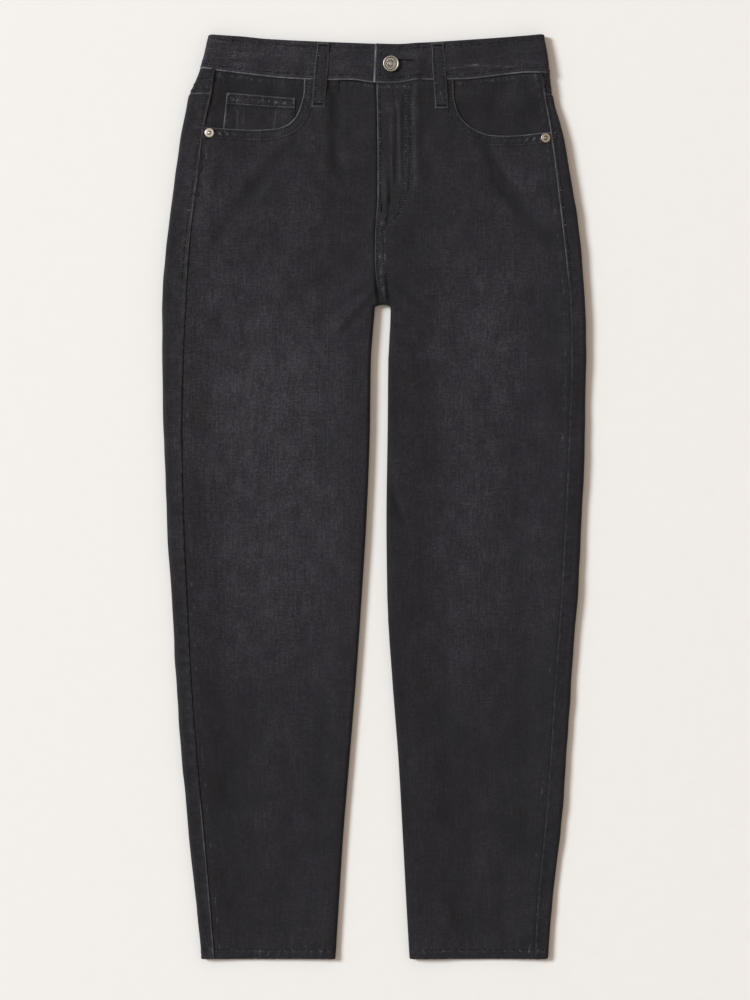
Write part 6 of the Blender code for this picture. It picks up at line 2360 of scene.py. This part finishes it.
for line in FLY_ROWS:
    row_on("stitches_front_left", line[3:-2], top_left, rise=0.22)
for line in CENTRE_ROWS:
    row_on("stitches_front_left", line, top_left, rise=0.22)
ys = np.arange(318.0, 446.0, 2.0)
row_on("stitches_front_left", np.stack([centre_x(ys) + 2.4, ys], axis=1),
       top_left, rise=0.2)
tack_on("stitches_front_left", at(381.5, 204), at(381.0, 213), top_left)
for side, top in (("right", top_right), ("left", top_left)):
    s = SIGN[side]
    y = HEM_END + HEM_HEIGHT - 2.2
    xs = np.arange(float(inner_x(side, y)) + s * 3.0,
                   float(seam_x[side](y)) - s * 2.0, s * 2.0)
    row_on("stitches_front_" + side, np.stack([xs, np.full(xs.shape, y)],
                                              axis=1), top, rise=0.22)

for ob in threads.build():
    made[ob.name] = ob
    pieces.append(ob)

waist_button()
for side in SIGN:
    rivet(side)

for key, ob in list(made.items()):
    print("AREA", key, round(area_of(ob), 5), len(ob.data.polygons))

SHEETS = {
    "front_right": ((0.245, 1.00), 0.175), "front_left": ((0.245, 1.00), 0.175),
    "back_right": ((0.29, 0.95), 0.205), "back_left": ((0.29, 0.95), 0.205),
    "yoke_right": ((0.25, 0.09), 0.0115), "yoke_left": ((0.25, 0.09), 0.0115),
    "waistband": ((0.046, 0.85), 0.038),
    "pocket_right": ((0.17, 0.18), 0.026), "pocket_left": ((0.17, 0.18), 0.026),
    "coin_pocket": ((0.084, 0.07), 0.0055),
    "back_pocket_right": ((0.15, 0.15), 0.0185),
    "back_pocket_left": ((0.15, 0.15), 0.0185),
    "belt_loop_front_right": ((0.02, 0.08), 0.0014),
    "belt_loop_front_left": ((0.02, 0.08), 0.0014),
    "belt_loop_back_right": ((0.018, 0.06), 0.001),
    "belt_loop_back_centre": ((0.018, 0.06), 0.001),
    "belt_loop_back_left": ((0.018, 0.06), 0.001),
}
RESTS = {
    "front_right": ("back_right",), "front_left": ("back_left",),
    "yoke_right": ("back_right",), "yoke_left": ("back_left",),
    "waistband": ("yoke_right", "yoke_left"),
    "pocket_right": ("back_right",), "pocket_left": ("back_left",),
    "coin_pocket": ("pocket_right",),
    "belt_loop_front_right": ("waistband",),
    "belt_loop_front_left": ("waistband",),
}
for key, (flat, area) in SHEETS.items():
    cloth_piece(made[key], key, flat, area, RESTS.get(key, ()))
for side in SIGN:
    ob = made["hem_" + side]
    pieces.append(ob)

zip_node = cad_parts["fly_zip"]
zip_mat = zip_material()
for k in range(len(zip_node.material_slots)):
    zip_node.material_slots[k].material = zip_mat

for ob in pieces:
    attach(ob, "root")

# ------------------------------------------------------- floor, light, view
bpy.ops.mesh.primitive_plane_add(size=6.0, location=(0.0, 0.0, 0.0))
floor = bpy.context.object
floor.name = "floor"
floor.data.materials.append(floor_material())

world = bpy.data.worlds.new("studio")
bpy.context.scene.world = world
world.use_nodes = True
back = world.node_tree.nodes["Background"]
back.inputs["Color"].default_value = (1.0, 0.86, 0.73, 1.0)
back.inputs["Strength"].default_value = 0.50


def area_light(name, place, target, size, power, colour):
    data = bpy.data.lights.new(name, 'AREA')
    data.shape = 'DISK'
    data.size = size
    data.energy = power
    data.color = colour
    ob = bpy.data.objects.new(name, data)
    bpy.context.scene.collection.objects.link(ob)
    ob.location = place
    way = Vector(target) - Vector(place)
    ob.rotation_euler = way.to_track_quat('-Z', 'Y').to_euler()
    return ob


area_light("key", (-18.0, 6.6, 14.55), (0.0, 0.0, 0.0), 7.8, 6900.0,
           (0.85, 0.94, 1.0))

camera_data = bpy.data.cameras.new("camera")
camera = bpy.data.objects.new("camera", camera_data)
bpy.context.scene.collection.objects.link(camera)
HIGH = 3.2
camera.location = (0.00098, -0.00278, HIGH)
camera.rotation_euler = (0.0, 0.0, 0.0)
camera_data.sensor_fit = 'VERTICAL'
camera_data.sensor_height = 36.0
camera_data.lens = 36.0 * (HIGH - 0.006) / 1.0900
camera_data.clip_end = 50.0
bpy.context.scene.camera = camera
bpy.context.scene.view_settings.view_transform = 'Standard'
